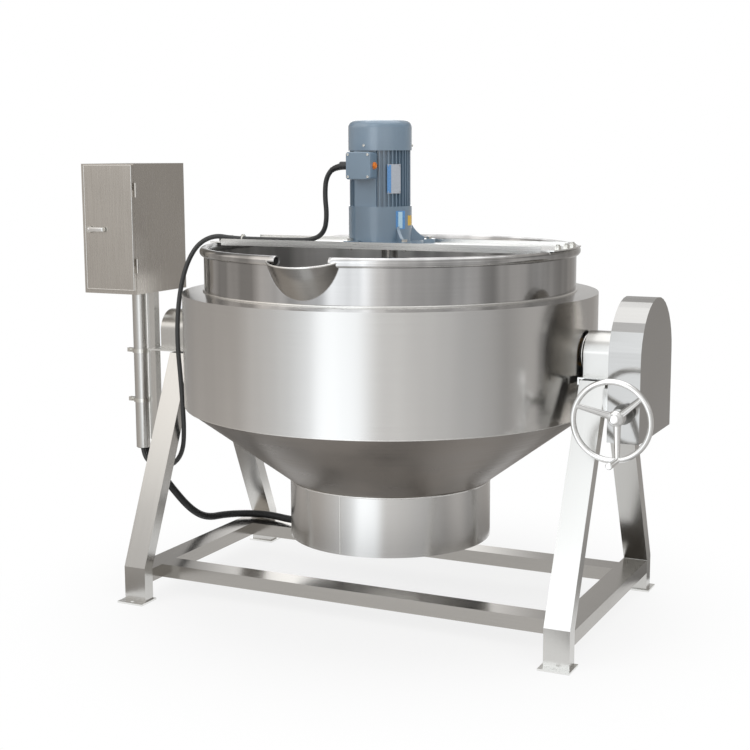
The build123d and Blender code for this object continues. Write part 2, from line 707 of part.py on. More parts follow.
PANEL = (180.0, 400.0)
PANEL_T = 2.0
PILLAR_R = 6.0
PILLAR_GRID = (160.0, 380.0)
STANDOFF = 16.0
panel_y = BOX_Y1 - BOX_SHEET - STANDOFF
with BuildPart() as mounting_panel:
    with BuildSketch(Plane.XZ.offset(-panel_y)):
        with Locations((box_mid_x, box_mid_z)):
            Rectangle(*PANEL)
    extrude(amount=PANEL_T)
    with BuildSketch(Plane.XZ.offset(-panel_y)):
        with Locations((box_mid_x, box_mid_z)):
            with GridLocations(*PILLAR_GRID, 2, 2):
                Circle(PILLAR_R)
    extrude(amount=-STANDOFF)
save(mounting_panel, "mounting_panel")

DIN_RAIL = (170.0, 35.0)
DIN_RAIL_T = 7.0
CONTACTOR_BODY = (46.0, 74.0, 62.0)      # width, height, depth
CONTACTOR_BRIDGE = (30.0, 40.0, 12.0)
CONTACTOR_PITCH = 54.0
CONTACTOR_LEVEL = 90.0   # above the middle of the box
TERMINAL_BLOCK = (10.0, 48.0, 38.0)
TERMINAL_PITCH = 12.0
TERMINAL_COUNT = 13
TERMINAL_LEVEL = -110.0
device_y = panel_y - PANEL_T

with BuildPart() as contactors:
    front_y = device_y
    for (width, height, depth), count in (
        ((*DIN_RAIL, DIN_RAIL_T), 1), (CONTACTOR_BODY, 3), (CONTACTOR_BRIDGE, 3),
    ):
        with BuildSketch(Plane.XZ.offset(-front_y)):
            with Locations((box_mid_x, box_mid_z + CONTACTOR_LEVEL)):
                with GridLocations(CONTACTOR_PITCH, 0, count, 1):
                    Rectangle(width, height)
        extrude(amount=depth)
        front_y -= depth
save(contactors, "contactors")

with BuildPart() as terminal_strip:
    with BuildSketch(Plane.XZ.offset(-device_y)):
        with Locations((box_mid_x, box_mid_z + TERMINAL_LEVEL)):
            Rectangle(*DIN_RAIL)
    extrude(amount=DIN_RAIL_T)
    with BuildSketch(Plane.XZ.offset(DIN_RAIL_T - device_y)):
        with Locations((box_mid_x, box_mid_z + TERMINAL_LEVEL)):
            with GridLocations(TERMINAL_PITCH, 0, TERMINAL_COUNT, 1):
                Rectangle(*TERMINAL_BLOCK[:2])
    extrude(amount=TERMINAL_BLOCK[2])
save(terminal_strip, "terminal_strip")


# ---- pot, spout and steam jacket ----------------------------------------
POT_TOP_Z = RIM_Z - RIM_TUBE_R + 1.0
pot_inner_r = POT_R - POT_WALL
SPOUT_SLOPE = SPOUT_REACH / (SPOUT_LIP_Z - SPOUT_APEX_Z)


def spout_axis_y(z):
    """Centre of the half pipe at height z."""
    return SPOUT_R - POT_R - SPOUT_SLOPE * (z - SPOUT_APEX_Z)


with BuildPart() as spout_void:
    for z in (SPOUT_APEX_Z, SPOUT_TOP_Z):
        with BuildSketch(Plane.XY.offset(z)):
            with Locations((0, spout_axis_y(z))):
                Circle(SPOUT_R - SPOUT_WALL)
    loft()

gap_edge = radians(-90 + RIM_GAP_ANGLE)
rim_start = Plane(
    origin=(0, 0, 0),
    x_dir=(cos(gap_edge), sin(gap_edge), 0),
    z_dir=(sin(gap_edge), -cos(gap_edge), 0),
)
rim_arc = 360 - 2 * RIM_GAP_ANGLE
rim_ends = [
    (x_sign * RIM_R * cos(gap_edge), RIM_R * sin(gap_edge), RIM_Z) for x_sign in (-1, 1)
]
with BuildPart() as rim_roll:
    with BuildSketch(rim_start):
        with Locations((RIM_R, RIM_Z)):
            Circle(RIM_TUBE_R)
    revolve(axis=Axis.Z, revolution_arc=rim_arc)
    with Locations(*rim_ends):
        Sphere(RIM_TUBE_R)

lip_rise = LIP_SLOPE * (SPOUT_REACH + POT_WALL)
lip_inner_y = POT_WALL - POT_R
lip_outer_y = -POT_R - 2 * SPOUT_REACH
with BuildPart() as pouring_spout:
    for z in (SPOUT_APEX_Z, SPOUT_TOP_Z):
        with BuildSketch(Plane.XY.offset(z)):
            with Locations((0, spout_axis_y(z))):
                Circle(SPOUT_R)
    loft()
    add(spout_void.part, mode=Mode.SUBTRACT)
    with Locations((0, 0, SPOUT_LIP_Z)):
        Cylinder(POT_R, 2 * POT_R, mode=Mode.SUBTRACT)
    with BuildSketch(Plane.YZ):
        Polygon(
            (lip_outer_y, SPOUT_LIP_Z - LIP_SLOPE * SPOUT_REACH),
            (lip_inner_y, SPOUT_LIP_Z + lip_rise),
            (0, SPOUT_LIP_Z + lip_rise), (0, 2 * RIM_Z), (lip_outer_y, 2 * RIM_Z),
            align=None,
        )
    extrude(amount=SPOUT_R, both=True, mode=Mode.SUBTRACT)
    add(rim_roll.part, mode=Mode.SUBTRACT)
save(pouring_spout, "pouring_spout")

with BuildPart() as inner_pot:
    with BuildSketch(Plane.XZ):
        with BuildLine():
            Line((POT_R, POT_TOP_Z), (POT_R, BOWL_Z))
            ThreePointArc((POT_R, BOWL_Z), on_bowl(POT_R, pi / 4), on_bowl(POT_R, pi / 2))
            Line(on_bowl(POT_R, pi / 2), on_bowl(pot_inner_r, pi / 2))
            ThreePointArc(
                on_bowl(pot_inner_r, pi / 2), on_bowl(pot_inner_r, pi / 4), (pot_inner_r, BOWL_Z)
            )
            Line((pot_inner_r, BOWL_Z), (pot_inner_r, POT_TOP_Z))
            Line((pot_inner_r, POT_TOP_Z), (POT_R, POT_TOP_Z))
        make_face()
    revolve(axis=Axis.Z)
    add(spout_void.part, mode=Mode.SUBTRACT)
    add(rim_roll.part)
    with BuildSketch(rim_start):
        with Locations((RIM_R, RIM_Z)):
            Circle(RIM_TUBE_R - RIM_TUBE_WALL)
    revolve(axis=Axis.Z, revolution_arc=rim_arc, mode=Mode.SUBTRACT)
save(inner_pot, "inner_pot")

JACKET_WALL = 4.0
jacket_inner_r = JACKET_R - JACKET_WALL
sump_inner_r = SUMP_R - JACKET_WALL

outer_end = atan(sqrt(JACKET_R**2 - SUMP_R**2) / SUMP_R)
inner_end = atan(sqrt(jacket_inner_r**2 - sump_inner_r**2) / sump_inner_r)
with BuildPart() as steam_jacket:
    with BuildSketch(Plane.XZ):
        with BuildLine():
            Line((POT_R, BOWL_Z + JACKET_WALL), (JACKET_R, BOWL_Z + JACKET_WALL))
            Line((JACKET_R, BOWL_Z + JACKET_WALL), (JACKET_R, BOWL_Z))
            ThreePointArc(
                (JACKET_R, BOWL_Z), on_bowl(JACKET_R, outer_end / 2), on_bowl(JACKET_R, outer_end)
            )
            Line(on_bowl(JACKET_R, outer_end), (SUMP_R, SUMP_Z))
            Line((SUMP_R, SUMP_Z), (0, SUMP_Z))
            Line((0, SUMP_Z), (0, SUMP_Z + JACKET_WALL))
            Line((0, SUMP_Z + JACKET_WALL), (sump_inner_r, SUMP_Z + JACKET_WALL))
            Line((sump_inner_r, SUMP_Z + JACKET_WALL), on_bowl(jacket_inner_r, inner_end))
            ThreePointArc(
                on_bowl(jacket_inner_r, inner_end), on_bowl(jacket_inner_r, inner_end / 2),
                (jacket_inner_r, BOWL_Z),
            )
            Line((jacket_inner_r, BOWL_Z), (POT_R, BOWL_Z))
            Line((POT_R, BOWL_Z), (POT_R, BOWL_Z + JACKET_WALL))
        make_face()
    revolve(axis=Axis.Z)
save(steam_jacket, "steam_jacket")

ELEMENT_R = 6.0
ELEMENT_REACH = 60.0
ELEMENT_BEND_R = 24.0
sump_floor_z = SUMP_Z + JACKET_WALL
element_top_z = SUMP_Z + ELEMENT_REACH
with BuildPart() as heater_elements:
    for element_y in (-ELEMENT_REACH, 0.0, ELEMENT_REACH):
        with BuildLine():
            element_path = FilletPolyline(
                (-ELEMENT_REACH, element_y, sump_floor_z),
                (-ELEMENT_REACH, element_y, element_top_z),
                (ELEMENT_REACH, element_y, element_top_z),
                (ELEMENT_REACH, element_y, sump_floor_z), radius=ELEMENT_BEND_R,
            )
        with BuildSketch(Plane(origin=element_path @ 0, z_dir=(0, 0, 1))):
            Circle(ELEMENT_R)
        sweep(path=element_path)
save(heater_elements, "heater_elements")

HEATER_COVER_R = 100.0
HEATER_COVER_Z = 242.0
GLAND_ANGLE = 150.0
GLAND_Z = 268.0
GLAND_R = CONDUIT_D / 2 + 5.0
GLAND_BORE_R = CONDUIT_D / 2 + 2.0
GLAND_REACH = 28.0
gland_out = Vector(cos(radians(GLAND_ANGLE)), sin(radians(GLAND_ANGLE)), 0)
gland_seat = gland_out * (HEATER_COVER_R - 6.0) + Vector(0, 0, GLAND_Z)
with BuildPart() as heater_cover:
    with BuildSketch(Plane.XY.offset(HEATER_COVER_Z)):
        Circle(HEATER_COVER_R)
    extrude(amount=SUMP_Z - HEATER_COVER_Z)
    with BuildSketch(Plane(origin=gland_seat, z_dir=gland_out)):
        Circle(GLAND_R)
    extrude(amount=GLAND_REACH)
    with BuildSketch(Plane.XY.offset(HEATER_COVER_Z + SHEET)):
        Circle(HEATER_COVER_R - SHEET)
    extrude(amount=SUMP_Z - HEATER_COVER_Z - SHEET, mode=Mode.SUBTRACT)
    with BuildSketch(Plane(origin=gland_seat, z_dir=gland_out)):
        Circle(GLAND_BORE_R)
    extrude(amount=GLAND_REACH, both=True, mode=Mode.SUBTRACT)
save(heater_cover, "heater_cover")


# ---- cladding -----------------------------------------------------------
BOSS_END_X = 678.0
BOSS_ROOT_X = 580.0
BOSS_HOLE_R = BOSS_R + 1.0
LEFT_SHAFT_END_X = 800.0
RIGHT_SHAFT_END_X = WORM_X + WHEEL_FACE / 2 + 8.0
shell_inner_r = SHELL_R - SHELL_WALL
SHOULDER_TOP_Z = SHELL_TOP_Z + SHOULDER_RISE
neck_r = POT_R + 0.5

with BuildPart() as outer_shell:
    with BuildSketch(Plane.XZ):
        Polygon(
            (SHELL_R, SHELL_BOTTOM_Z), (SHELL_R, SHELL_TOP_Z), (neck_r, SHOULDER_TOP_Z),
            (neck_r, SHOULDER_TOP_Z - SHELL_WALL), (shell_inner_r, SHELL_TOP_Z - SHELL_WALL),
            (shell_inner_r, SHELL_BOTTOM_Z), align=None,
        )
    revolve(axis=Axis.Z)
    with BuildSketch(Plane.YZ):
        with Locations((0, TRUNNION_Z)):
            Circle(BOSS_HOLE_R)
    extrude(amount=BOSS_END_X, both=True, mode=Mode.SUBTRACT)
save(outer_shell, "outer_shell")

cone_length = hypot(SHELL_R - SKIRT_R, SHELL_BOTTOM_Z - SKIRT_TOP_Z)
cone_level_wall = SHELL_WALL * cone_length / (SHELL_BOTTOM_Z - SKIRT_TOP_Z)
with BuildPart() as cone_shell:
    with BuildSketch(Plane.XZ):
        Polygon(
            (SHELL_R, SHELL_BOTTOM_Z), (SKIRT_R, SKIRT_TOP_Z),
            (SKIRT_R - cone_level_wall, SKIRT_TOP_Z), (SHELL_R - cone_level_wall, SHELL_BOTTOM_Z),
            align=None,
        )
    revolve(axis=Axis.Z)
save(cone_shell, "cone_shell")

with BuildPart() as skirt:
    with BuildSketch(Plane.XY.offset(SKIRT_BOTTOM_Z)):
        Circle(SKIRT_R)
        Circle(SKIRT_R - SHELL_WALL, mode=Mode.SUBTRACT)
    extrude(amount=SKIRT_TOP_Z - SKIRT_BOTTOM_Z)
save(skirt, "skirt")

with BuildPart() as trunnions:
    for x_sign, end_x in ((-1, LEFT_SHAFT_END_X), (1, RIGHT_SHAFT_END_X)):
        with BuildSketch(Plane.YZ.offset(x_sign * BOSS_ROOT_X)):
            with Locations((0, TRUNNION_Z)):
                Circle(BOSS_R)
        extrude(amount=x_sign * (BOSS_END_X - BOSS_ROOT_X))
        with BuildSketch(Plane.YZ.offset(x_sign * BOSS_END_X)):
            with Locations((0, TRUNNION_Z)):
                Circle(SHAFT_R)
        extrude(amount=x_sign * (end_x - BOSS_END_X))
    with Locations((0, 0, BOWL_Z)):
        Sphere(JACKET_R, mode=Mode.SUBTRACT)
save(trunnions, "trunnions")


# ---- bridge and gear motor ----------------------------------------------
BOLT_R = 6.0
NUT_R = 10.0
NUT_T = 10.0
HEAD_T = 8.0
THREAD_STAND = 4.0       # bolt end past its nut
RIM_STUD_YS = (-70.0, 0.0, 70.0)
DECK_END_R = 616.0
DECK_HOLE_R = COUPLING_R + 8.0
EDGE_STRIP_HALF_X = 560.0
deck_top_z = DECK_Z + DECK_T
rim_studs = [
    (x_sign * sqrt(RIM_R**2 - y**2), y) for x_sign in (-1, 1) for y in RIM_STUD_YS
]
with BuildPart() as motor_bridge:
    with BuildSketch(Plane.XY.offset(DECK_Z)):
        Rectangle(2 * DECK_END_R, 2 * DECK_HALF)
        Circle(DECK_END_R, mode=Mode.INTERSECT)
        Circle(DECK_HOLE_R, mode=Mode.SUBTRACT)
        with GridLocations(FLANGE_BOLT, FLANGE_BOLT, 2, 2):
            Circle(BOLT_R, mode=Mode.SUBTRACT)
        with Locations(*rim_studs):
            Circle(BOLT_R, mode=Mode.SUBTRACT)
    extrude(amount=DECK_T)
    with BuildSketch(Plane.XY.offset(DECK_Z - EDGE_STRIP_DROP)):
        with GridLocations(0, 2 * DECK_HALF - EDGE_STRIP_T, 1, 2):
            Rectangle(2 * EDGE_STRIP_HALF_X, EDGE_STRIP_T)
    extrude(amount=EDGE_STRIP_H)
save(motor_bridge, "motor_bridge")

with BuildPart() as rim_fixings:
    with BuildSketch(Plane.XY.offset(DECK_Z)):
        with Locations(*rim_studs):
            Circle(BOLT_R)
    extrude(amount=DECK_T + NUT_T + THREAD_STAND)
    with BuildSketch(Plane.XY.offset(deck_top_z)):
        with Locations(*rim_studs):
            RegularPolygon(NUT_R, 6)
    extrude(amount=NUT_T)
save(rim_fixings, "rim_fixings")

flange_top_z = deck_top_z + FLANGE_T
with BuildPart() as flange_bolts:
    with BuildSketch(Plane.XY.offset(DECK_Z - NUT_T - THREAD_STAND)):
        with GridLocations(FLANGE_BOLT, FLANGE_BOLT, 2, 2):
            Circle(BOLT_R)
    extrude(amount=NUT_T + THREAD_STAND + DECK_T + FLANGE_T)
    for level, height in ((DECK_Z - NUT_T, NUT_T), (flange_top_z, HEAD_T)):
        with BuildSketch(Plane.XY.offset(level)):
            with GridLocations(FLANGE_BOLT, FLANGE_BOLT, 2, 2):
                RegularPolygon(NUT_R, 6)
        extrude(amount=height)
save(flange_bolts, "flange_bolts")

OUTPUT_TOP_Z = 1258.0
RIB_T = 10.0
RIB_TOP_Z = 1270.0
RIB_TOE_T = 7.0          # height of a rib at its bolt
RIB_START = 64.0         # distances along a rib, from the flange centre
RIB_WAIST = 92.0
RIB_TOE = 118.0
bolt_reach = FLANGE_BOLT / sqrt(2)
with BuildPart() as gear_housing:
    with BuildSketch(Plane.XY.offset(deck_top_z)):
        Circle(FLANGE_R)
        with PolarLocations(0, 4, start_angle=45):
            with Locations((bolt_reach / 2, 0)):
                SlotCenterToCenter(bolt_reach, 2 * EAR_R)
        with GridLocations(FLANGE_BOLT, FLANGE_BOLT, 2, 2):
            Circle(BOLT_R, mode=Mode.SUBTRACT)
    extrude(amount=FLANGE_T)
    with BuildSketch(Plane.XY.offset(flange_top_z)):
        with Locations((MOTOR_X, 0)):
            Circle(GEARBOX_R)
    extrude(amount=GEARBOX_TOP_Z - flange_top_z)
    for angle in (45, 135, 225, 315):
        out = Vector(cos(radians(angle)), sin(radians(angle)), 0)
        rib_plane = Plane(origin=(0, 0, 0), x_dir=out, z_dir=out.cross(Vector(0, 0, 1)))
        toe_z = flange_top_z + RIB_TOE_T
        with BuildSketch(rib_plane):
            with BuildLine():
                ThreePointArc(
                    (RIB_START, RIB_TOP_Z), (RIB_WAIST, (RIB_TOP_Z + 3 * toe_z) / 4),
                    (RIB_TOE, toe_z),
                )
                Polyline(
                    (RIB_TOE, toe_z), (RIB_TOE, flange_top_z), (RIB_START, flange_top_z),
                    (RIB_START, RIB_TOP_Z),
                )
            make_face()
        extrude(amount=RIB_T / 2, both=True)
    with BuildSketch(Plane.XY.offset(deck_top_z)):
        Circle(AGITATOR_SHAFT_R + RUNNING_GAP)
    extrude(amount=OUTPUT_TOP_Z + THREAD_STAND - deck_top_z, mode=Mode.SUBTRACT)
save(gear_housing, "gear_housing")

ROTOR_SHAFT_R = 14.0
ROTOR_R = 51.5
STATOR_BORE_R = 52.0
END_SHIELD_T = 14.0
PAD_Y = -92.0            # flat face that carries the terminal box
PAD_W = 76.0
PAD_DEPTH = 60.0
FIN_ROOT_R = 88.0
FIN_T = 3.0
stator_height = STATOR_TOP_Z - GEARBOX_TOP_Z
fin_length = STATOR_R - FIN_ROOT_R + 2.0
with BuildPart() as motor_stator:
    with BuildSketch(Plane.XY.offset(GEARBOX_TOP_Z)):
        with Locations((MOTOR_X, 0)):
            Circle(FIN_ROOT_R)
            with PolarLocations(STATOR_R - fin_length / 2, FIN_COUNT):
                Rectangle(fin_length, FIN_T)
        with Locations((TERMINAL_X, PAD_Y)):
            Rectangle(PAD_W, PAD_DEPTH, align=(Align.CENTER, Align.MIN))
            Rectangle(PAD_W, PAD_DEPTH, align=(Align.CENTER, Align.MAX), mode=Mode.SUBTRACT)
        with Locations((MOTOR_X, 0)):
            Circle(ROTOR_SHAFT_R + RUNNING_GAP, mode=Mode.SUBTRACT)
    extrude(amount=stator_height)
    with BuildSketch(Plane.XY.offset(GEARBOX_TOP_Z + END_SHIELD_T)):
        with Locations((MOTOR_X, 0)):
            Circle(STATOR_BORE_R)
    extrude(amount=stator_height - 2 * END_SHIELD_T, mode=Mode.SUBTRACT)
save(motor_stator, "motor_stator")

COWL_WALL = 2.0
COWL_ROUND = 24.0
VENT = (13.0, 5.0)
VENT_RINGS = ((26.0, 10), (46.0, 18), (66.0, 26))
with BuildPart() as fan_cowl:
    with BuildSketch(Plane.XY.offset(STATOR_TOP_Z)):
        with Locations((MOTOR_X, 0)):
            Circle(COWL_R)
    extrude(amount=COWL_TOP_Z - STATOR_TOP_Z)
    fillet(fan_cowl.faces().sort_by(Axis.Z)[-1].edges(), radius=COWL_ROUND)
    offset(amount=-COWL_WALL, openings=fan_cowl.faces().sort_by(Axis.Z)[0])
    with BuildSketch(Plane.XY.offset(COWL_TOP_Z)):
        with Locations((MOTOR_X, 0)):
            for ring_r, vent_count in VENT_RINGS:
                with PolarLocations(ring_r, vent_count):
                    Rectangle(*VENT)
    extrude(amount=-2 * COWL_WALL, mode=Mode.SUBTRACT)
save(fan_cowl, "fan_cowl")

FAN_R = 84.0
FAN_Z = 1500.0
FAN_T = 30.0
FAN_DISC_T = 3.0
FAN_HUB_R = 24.0
FAN_BLADES = 8
ROTOR_END_GAP = 10.0     # from each end shield to the rotor core
with BuildPart() as motor_rotor:
    with BuildSketch(Plane.XY.offset(GEARBOX_TOP_Z + COWL_WALL)):
        with Locations((MOTOR_X, 0)):
            Circle(ROTOR_SHAFT_R)
    extrude(amount=FAN_Z + FAN_T - GEARBOX_TOP_Z - COWL_WALL)
    with BuildSketch(Plane.XY.offset(GEARBOX_TOP_Z + END_SHIELD_T + ROTOR_END_GAP)):
        with Locations((MOTOR_X, 0)):
            Circle(ROTOR_R)
    extrude(amount=stator_height - 2 * (END_SHIELD_T + ROTOR_END_GAP))
save(motor_rotor, "motor_rotor")

with BuildPart() as cooling_fan:
    with BuildSketch(Plane.XY.offset(FAN_Z)):
        with Locations((MOTOR_X, 0)):
            Circle(FAN_HUB_R)
            with PolarLocations(FAN_HUB_R - FAN_DISC_T, FAN_BLADES):
                Rectangle(
                    FAN_R - FAN_HUB_R, FAN_DISC_T, align=(Align.MIN, Align.CENTER)
                )
            Circle(ROTOR_SHAFT_R, mode=Mode.SUBTRACT)
    extrude(amount=FAN_T)
    with BuildSketch(Plane.XY.offset(FAN_Z)):
        with Locations((MOTOR_X, 0)):
            Circle(FAN_R)
            Circle(ROTOR_SHAFT_R, mode=Mode.SUBTRACT)
    extrude(amount=FAN_DISC_T)
save(cooling_fan, "cooling_fan")

TERMINAL_WALL = 4.0
TERMINAL_ROUND = 8.0
COVER_T = 8.0
COVER_MARGIN = 1.0       # how far the cover stands proud of the box all round
COVER_SOFTEN = 3.0
GLAND_PLAY = 0.5
terminal_w, terminal_d, terminal_h = TERMINAL_BOX
terminal_front_y = PAD_Y - terminal_d
with BuildPart() as terminal_box:
    with BuildSketch(Plane.XZ.offset(-PAD_Y)):
        with Locations((TERMINAL_X, TERMINAL_Z)):
            RectangleRounded(terminal_w, terminal_h, TERMINAL_ROUND)
    extrude(amount=terminal_d)
    with BuildSketch(Plane.XZ.offset(-PAD_Y + TERMINAL_WALL)):
        with Locations((TERMINAL_X, TERMINAL_Z)):
            RectangleRounded(
                terminal_w - 2 * TERMINAL_WALL, terminal_h - 2 * TERMINAL_WALL,
                TERMINAL_ROUND - TERMINAL_WALL,
            )
    extrude(amount=terminal_d - TERMINAL_WALL, mode=Mode.SUBTRACT)
    with BuildSketch(Plane.YZ.offset(TERMINAL_X - terminal_w)):
        with Locations((PAD_Y - terminal_d / 2, TERMINAL_Z)):
            Circle(MOTOR_CABLE_D / 2 + GLAND_PLAY)
    extrude(amount=terminal_w, mode=Mode.SUBTRACT)
save(terminal_box, "terminal_box")

with BuildPart() as terminal_cover:
    with BuildSketch(Plane.XZ.offset(-terminal_front_y)):
        with Locations((TERMINAL_X, TERMINAL_Z)):
            RectangleRounded(
                terminal_w + 2 * COVER_MARGIN, terminal_h + 2 * COVER_MARGIN,
                TERMINAL_ROUND + COVER_MARGIN,
            )
    extrude(amount=COVER_T)
    fillet(terminal_cover.faces().sort_by(Axis.Y)[0].edges(), radius=COVER_SOFTEN)
save(terminal_cover, "terminal_cover")

gland_y = PAD_Y - terminal_d / 2
GLAND_NUT_R = 15.0
GLAND_NUT_T = 12.0
GLAND_CAP_R = 13.0
GLAND_LENGTH = 34.0
box_left_x = TERMINAL_X - terminal_w / 2
with BuildPart() as cable_gland:
    with BuildSketch(Plane.YZ.offset(box_left_x)):
        with Locations((gland_y, TERMINAL_Z)):
            RegularPolygon(GLAND_NUT_R, 6)
    extrude(amount=-GLAND_NUT_T)
    with BuildSketch(Plane.YZ.offset(box_left_x - GLAND_NUT_T)):
        with Locations((gland_y, TERMINAL_Z)):
            Circle(GLAND_CAP_R)
    extrude(amount=GLAND_NUT_T - GLAND_LENGTH)
    with BuildSketch(Plane.YZ.offset(box_left_x)):
        with Locations((gland_y, TERMINAL_Z)):
            Circle(MOTOR_CABLE_D / 2 + GLAND_PLAY)
    extrude(amount=-GLAND_LENGTH, mode=Mode.SUBTRACT)
save(cable_gland, "cable_gland")


# ---- agitator -----------------------------------------------------------
ARM_Z = 1000.0
ARM_R = 16.0
HUB_WALL = 8.0
HUB_HEIGHT = 60.0
bar_outer_r = ANCHOR_BAR_R + ANCHOR_BAR
SHAFT_END_Z = BOWL_Z - ANCHOR_BAR_R - 10.0
COUPLING_Z = (1090.0, 1160.0)

with BuildPart() as agitator_shaft:
    with BuildSketch(Plane.XY.offset(SHAFT_END_Z)):
        Circle(AGITATOR_SHAFT_R)
    extrude(amount=OUTPUT_TOP_Z - SHAFT_END_Z)
    with BuildSketch(Plane.XY.offset(COUPLING_Z[0])):
        Circle(COUPLING_R)
    extrude(amount=COUPLING_Z[1] - COUPLING_Z[0])
save(agitator_shaft, "agitator_shaft")

with BuildPart() as anchor_frame:
    with BuildSketch(Plane.XZ):
        with Locations((0, BOWL_Z)):
            Circle(bar_outer_r)
            Circle(ANCHOR_BAR_R, mode=Mode.SUBTRACT)
            Rectangle(
                2 * bar_outer_r, bar_outer_r, align=(Align.CENTER, Align.MIN), mode=Mode.SUBTRACT
            )
        for x_sign in (-1, 1):
            with Locations((x_sign * (ANCHOR_BAR_R + ANCHOR_BAR / 2), BOWL_Z)):
                Rectangle(ANCHOR_BAR, ANCHOR_TOP_Z - BOWL_Z, align=(Align.CENTER, Align.MIN))
    extrude(amount=ANCHOR_BAR_T / 2, both=True)
    with BuildSketch(Plane.YZ):
        with Locations((0, ARM_Z)):
            Circle(ARM_R)
    extrude(amount=ANCHOR_BAR_R, both=True)
    for hub_z in (SHAFT_END_Z - AGITATOR_SHAFT_R, ARM_Z - HUB_HEIGHT / 2):
        with BuildSketch(Plane.XY.offset(hub_z)):
            Circle(AGITATOR_SHAFT_R + HUB_WALL)
        extrude(amount=HUB_HEIGHT)
    with BuildSketch(Plane.XY.offset(SHAFT_END_Z)):
        Circle(AGITATOR_SHAFT_R)
    extrude(amount=OUTPUT_TOP_Z - SHAFT_END_Z, mode=Mode.SUBTRACT)
save(anchor_frame, "anchor_frame")

SCRAPER_T = 12.0
SCRAPER_SPANS = ((12, 30), (38, 56), (64, 80))
with BuildPart() as scrapers:
    for x_sign in (-1, 1):
        for low, high in SCRAPER_SPANS:
            a, b = radians(low), radians(high)
            mid = (a + b) / 2
            with BuildSketch(Plane.XZ):
                with BuildLine():
                    inner = [on_bowl(bar_outer_r, t) for t in (a, mid, b)]
                    outer = [on_bowl(SCRAPER_R, t) for t in (b, mid, a)]
                    inner = [(x_sign * x, z) for x, z in inner]
                    outer = [(x_sign * x, z) for x, z in outer]
                    ThreePointArc(*inner)
                    Line(inner[2], outer[0])
                    ThreePointArc(*outer)
                    Line(outer[2], inner[0])
                make_face()
            extrude(amount=SCRAPER_T / 2, both=True)
save(scrapers, "scrapers")


# ---- cables -------------------------------------------------------------
MOTOR_CABLE_ROUTE = [
    (-76, -114.5, 1429), (-138, -114, 1428.5), (-172, -112, 1393), (-178, -110, 1335),
    (-172, -108, 1268), (-183, -107, 1215), (-226, -106, 1190), (-306, -107, 1188.5),
    (-425, -103, 1188), (-530, -107, 1189.5), (-591, -117, 1199), (-644, -136, 1173),
    (-677, -156, 1112), (-692, -178, 1030), (-695, -198, 930), (-688, -212, 830),
    (-676, -217, 730), (-672, -214, 630), (-675, -205, 545), (-690, -191, 475),
    (-726, -175, 426), (-783, -153, 396), (-845, -128, 387), (-906, -103, 400),
    (-928, -92.5, 447), (-929, -93.5, 492),
]
HEATER_CONDUIT_ROUTE = [
    (-930.5, -70.8, 485), (-930.5, -70.5, 425), (-905, -36, 356), (-872, 14, 268),
    (-848, 86, 182), (-836, 172, 132), (-806, 262, 128), (-742, 318, 125),
    (-655, 332, 125), (-562, 302, 125.5), (-445, 243, 142), (-338, 188, 168),
    (-240, 138, 214), (-172, 99, 254), (-108, 62.4, 268),
]
cable(MOTOR_CABLE_ROUTE, MOTOR_CABLE_D, "motor_cable")
cable(HEATER_CONDUIT_ROUTE, CONDUIT_D, "heater_conduit")
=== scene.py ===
# Looks of a tilting steam jacketed kettle, laid out as a Blender add-on.
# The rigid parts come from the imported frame; this file gives them their
# finishes and adds cables, trim, light and camera.

import math

import bmesh
import bpy
from bpy.props import FloatProperty, FloatVectorProperty, PointerProperty, StringProperty
from mathutils import Matrix, Vector


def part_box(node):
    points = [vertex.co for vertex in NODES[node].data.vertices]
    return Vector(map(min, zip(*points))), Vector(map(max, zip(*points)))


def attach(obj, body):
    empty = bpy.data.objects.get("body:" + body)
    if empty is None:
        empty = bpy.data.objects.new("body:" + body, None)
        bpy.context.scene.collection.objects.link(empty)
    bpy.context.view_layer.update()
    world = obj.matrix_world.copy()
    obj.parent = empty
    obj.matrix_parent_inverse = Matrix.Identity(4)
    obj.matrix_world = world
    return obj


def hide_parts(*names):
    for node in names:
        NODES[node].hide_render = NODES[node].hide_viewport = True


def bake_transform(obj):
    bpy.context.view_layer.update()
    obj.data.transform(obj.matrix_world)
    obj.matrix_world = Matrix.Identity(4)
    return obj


bl_info = {
    "name": "Steam Jacketed Kettle",
    "version": (1, 0, 0),
    "blender": (4, 5, 0),
    "location": "View3D > Sidebar > Kettle",
    "description": "Finishes, cables and trim for a tilting steam jacketed kettle",
    "category": "Object",
}

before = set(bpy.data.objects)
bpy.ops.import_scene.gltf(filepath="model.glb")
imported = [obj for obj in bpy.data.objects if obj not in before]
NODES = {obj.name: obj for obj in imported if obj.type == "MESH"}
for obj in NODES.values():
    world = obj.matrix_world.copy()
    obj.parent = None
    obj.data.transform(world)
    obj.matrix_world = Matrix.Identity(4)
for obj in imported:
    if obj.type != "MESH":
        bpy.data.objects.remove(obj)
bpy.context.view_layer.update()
MM = 0.001
MATERIALS = {}


# ---- small helpers ------------------------------------------------------
def linear(code):
    """An sRGB hex colour as linear RGBA."""
    parts = (int(code[i:i + 2], 16) / 255 for i in (1, 3, 5))
    return (*(c / 12.92 if c <= 0.04045 else ((c + 0.055) / 1.055) ** 2.4 for c in parts), 1.0)


def shades(colour, spread):
    """A hex colour darkened and lightened by spread, as two linear colours."""
    base = linear(colour)[:3]
    return (
        (*(c * (1 - spread) for c in base), 1.0),
        (*(min(1.0, c * (1 + spread)) for c in base), 1.0),
    )


def add_node(tree, kind, values=None, links=None, **settings):
    """A shader node with its settings, socket values and incoming links."""
    node = tree.nodes.new(kind)
    for name, value in settings.items():
        setattr(node, name, value)
    for socket, value in (values or {}).items():
        node.inputs[socket].default_value = value
    for socket, source in (links or {}).items():
        tree.links.new(source, node.inputs[socket])
    return node


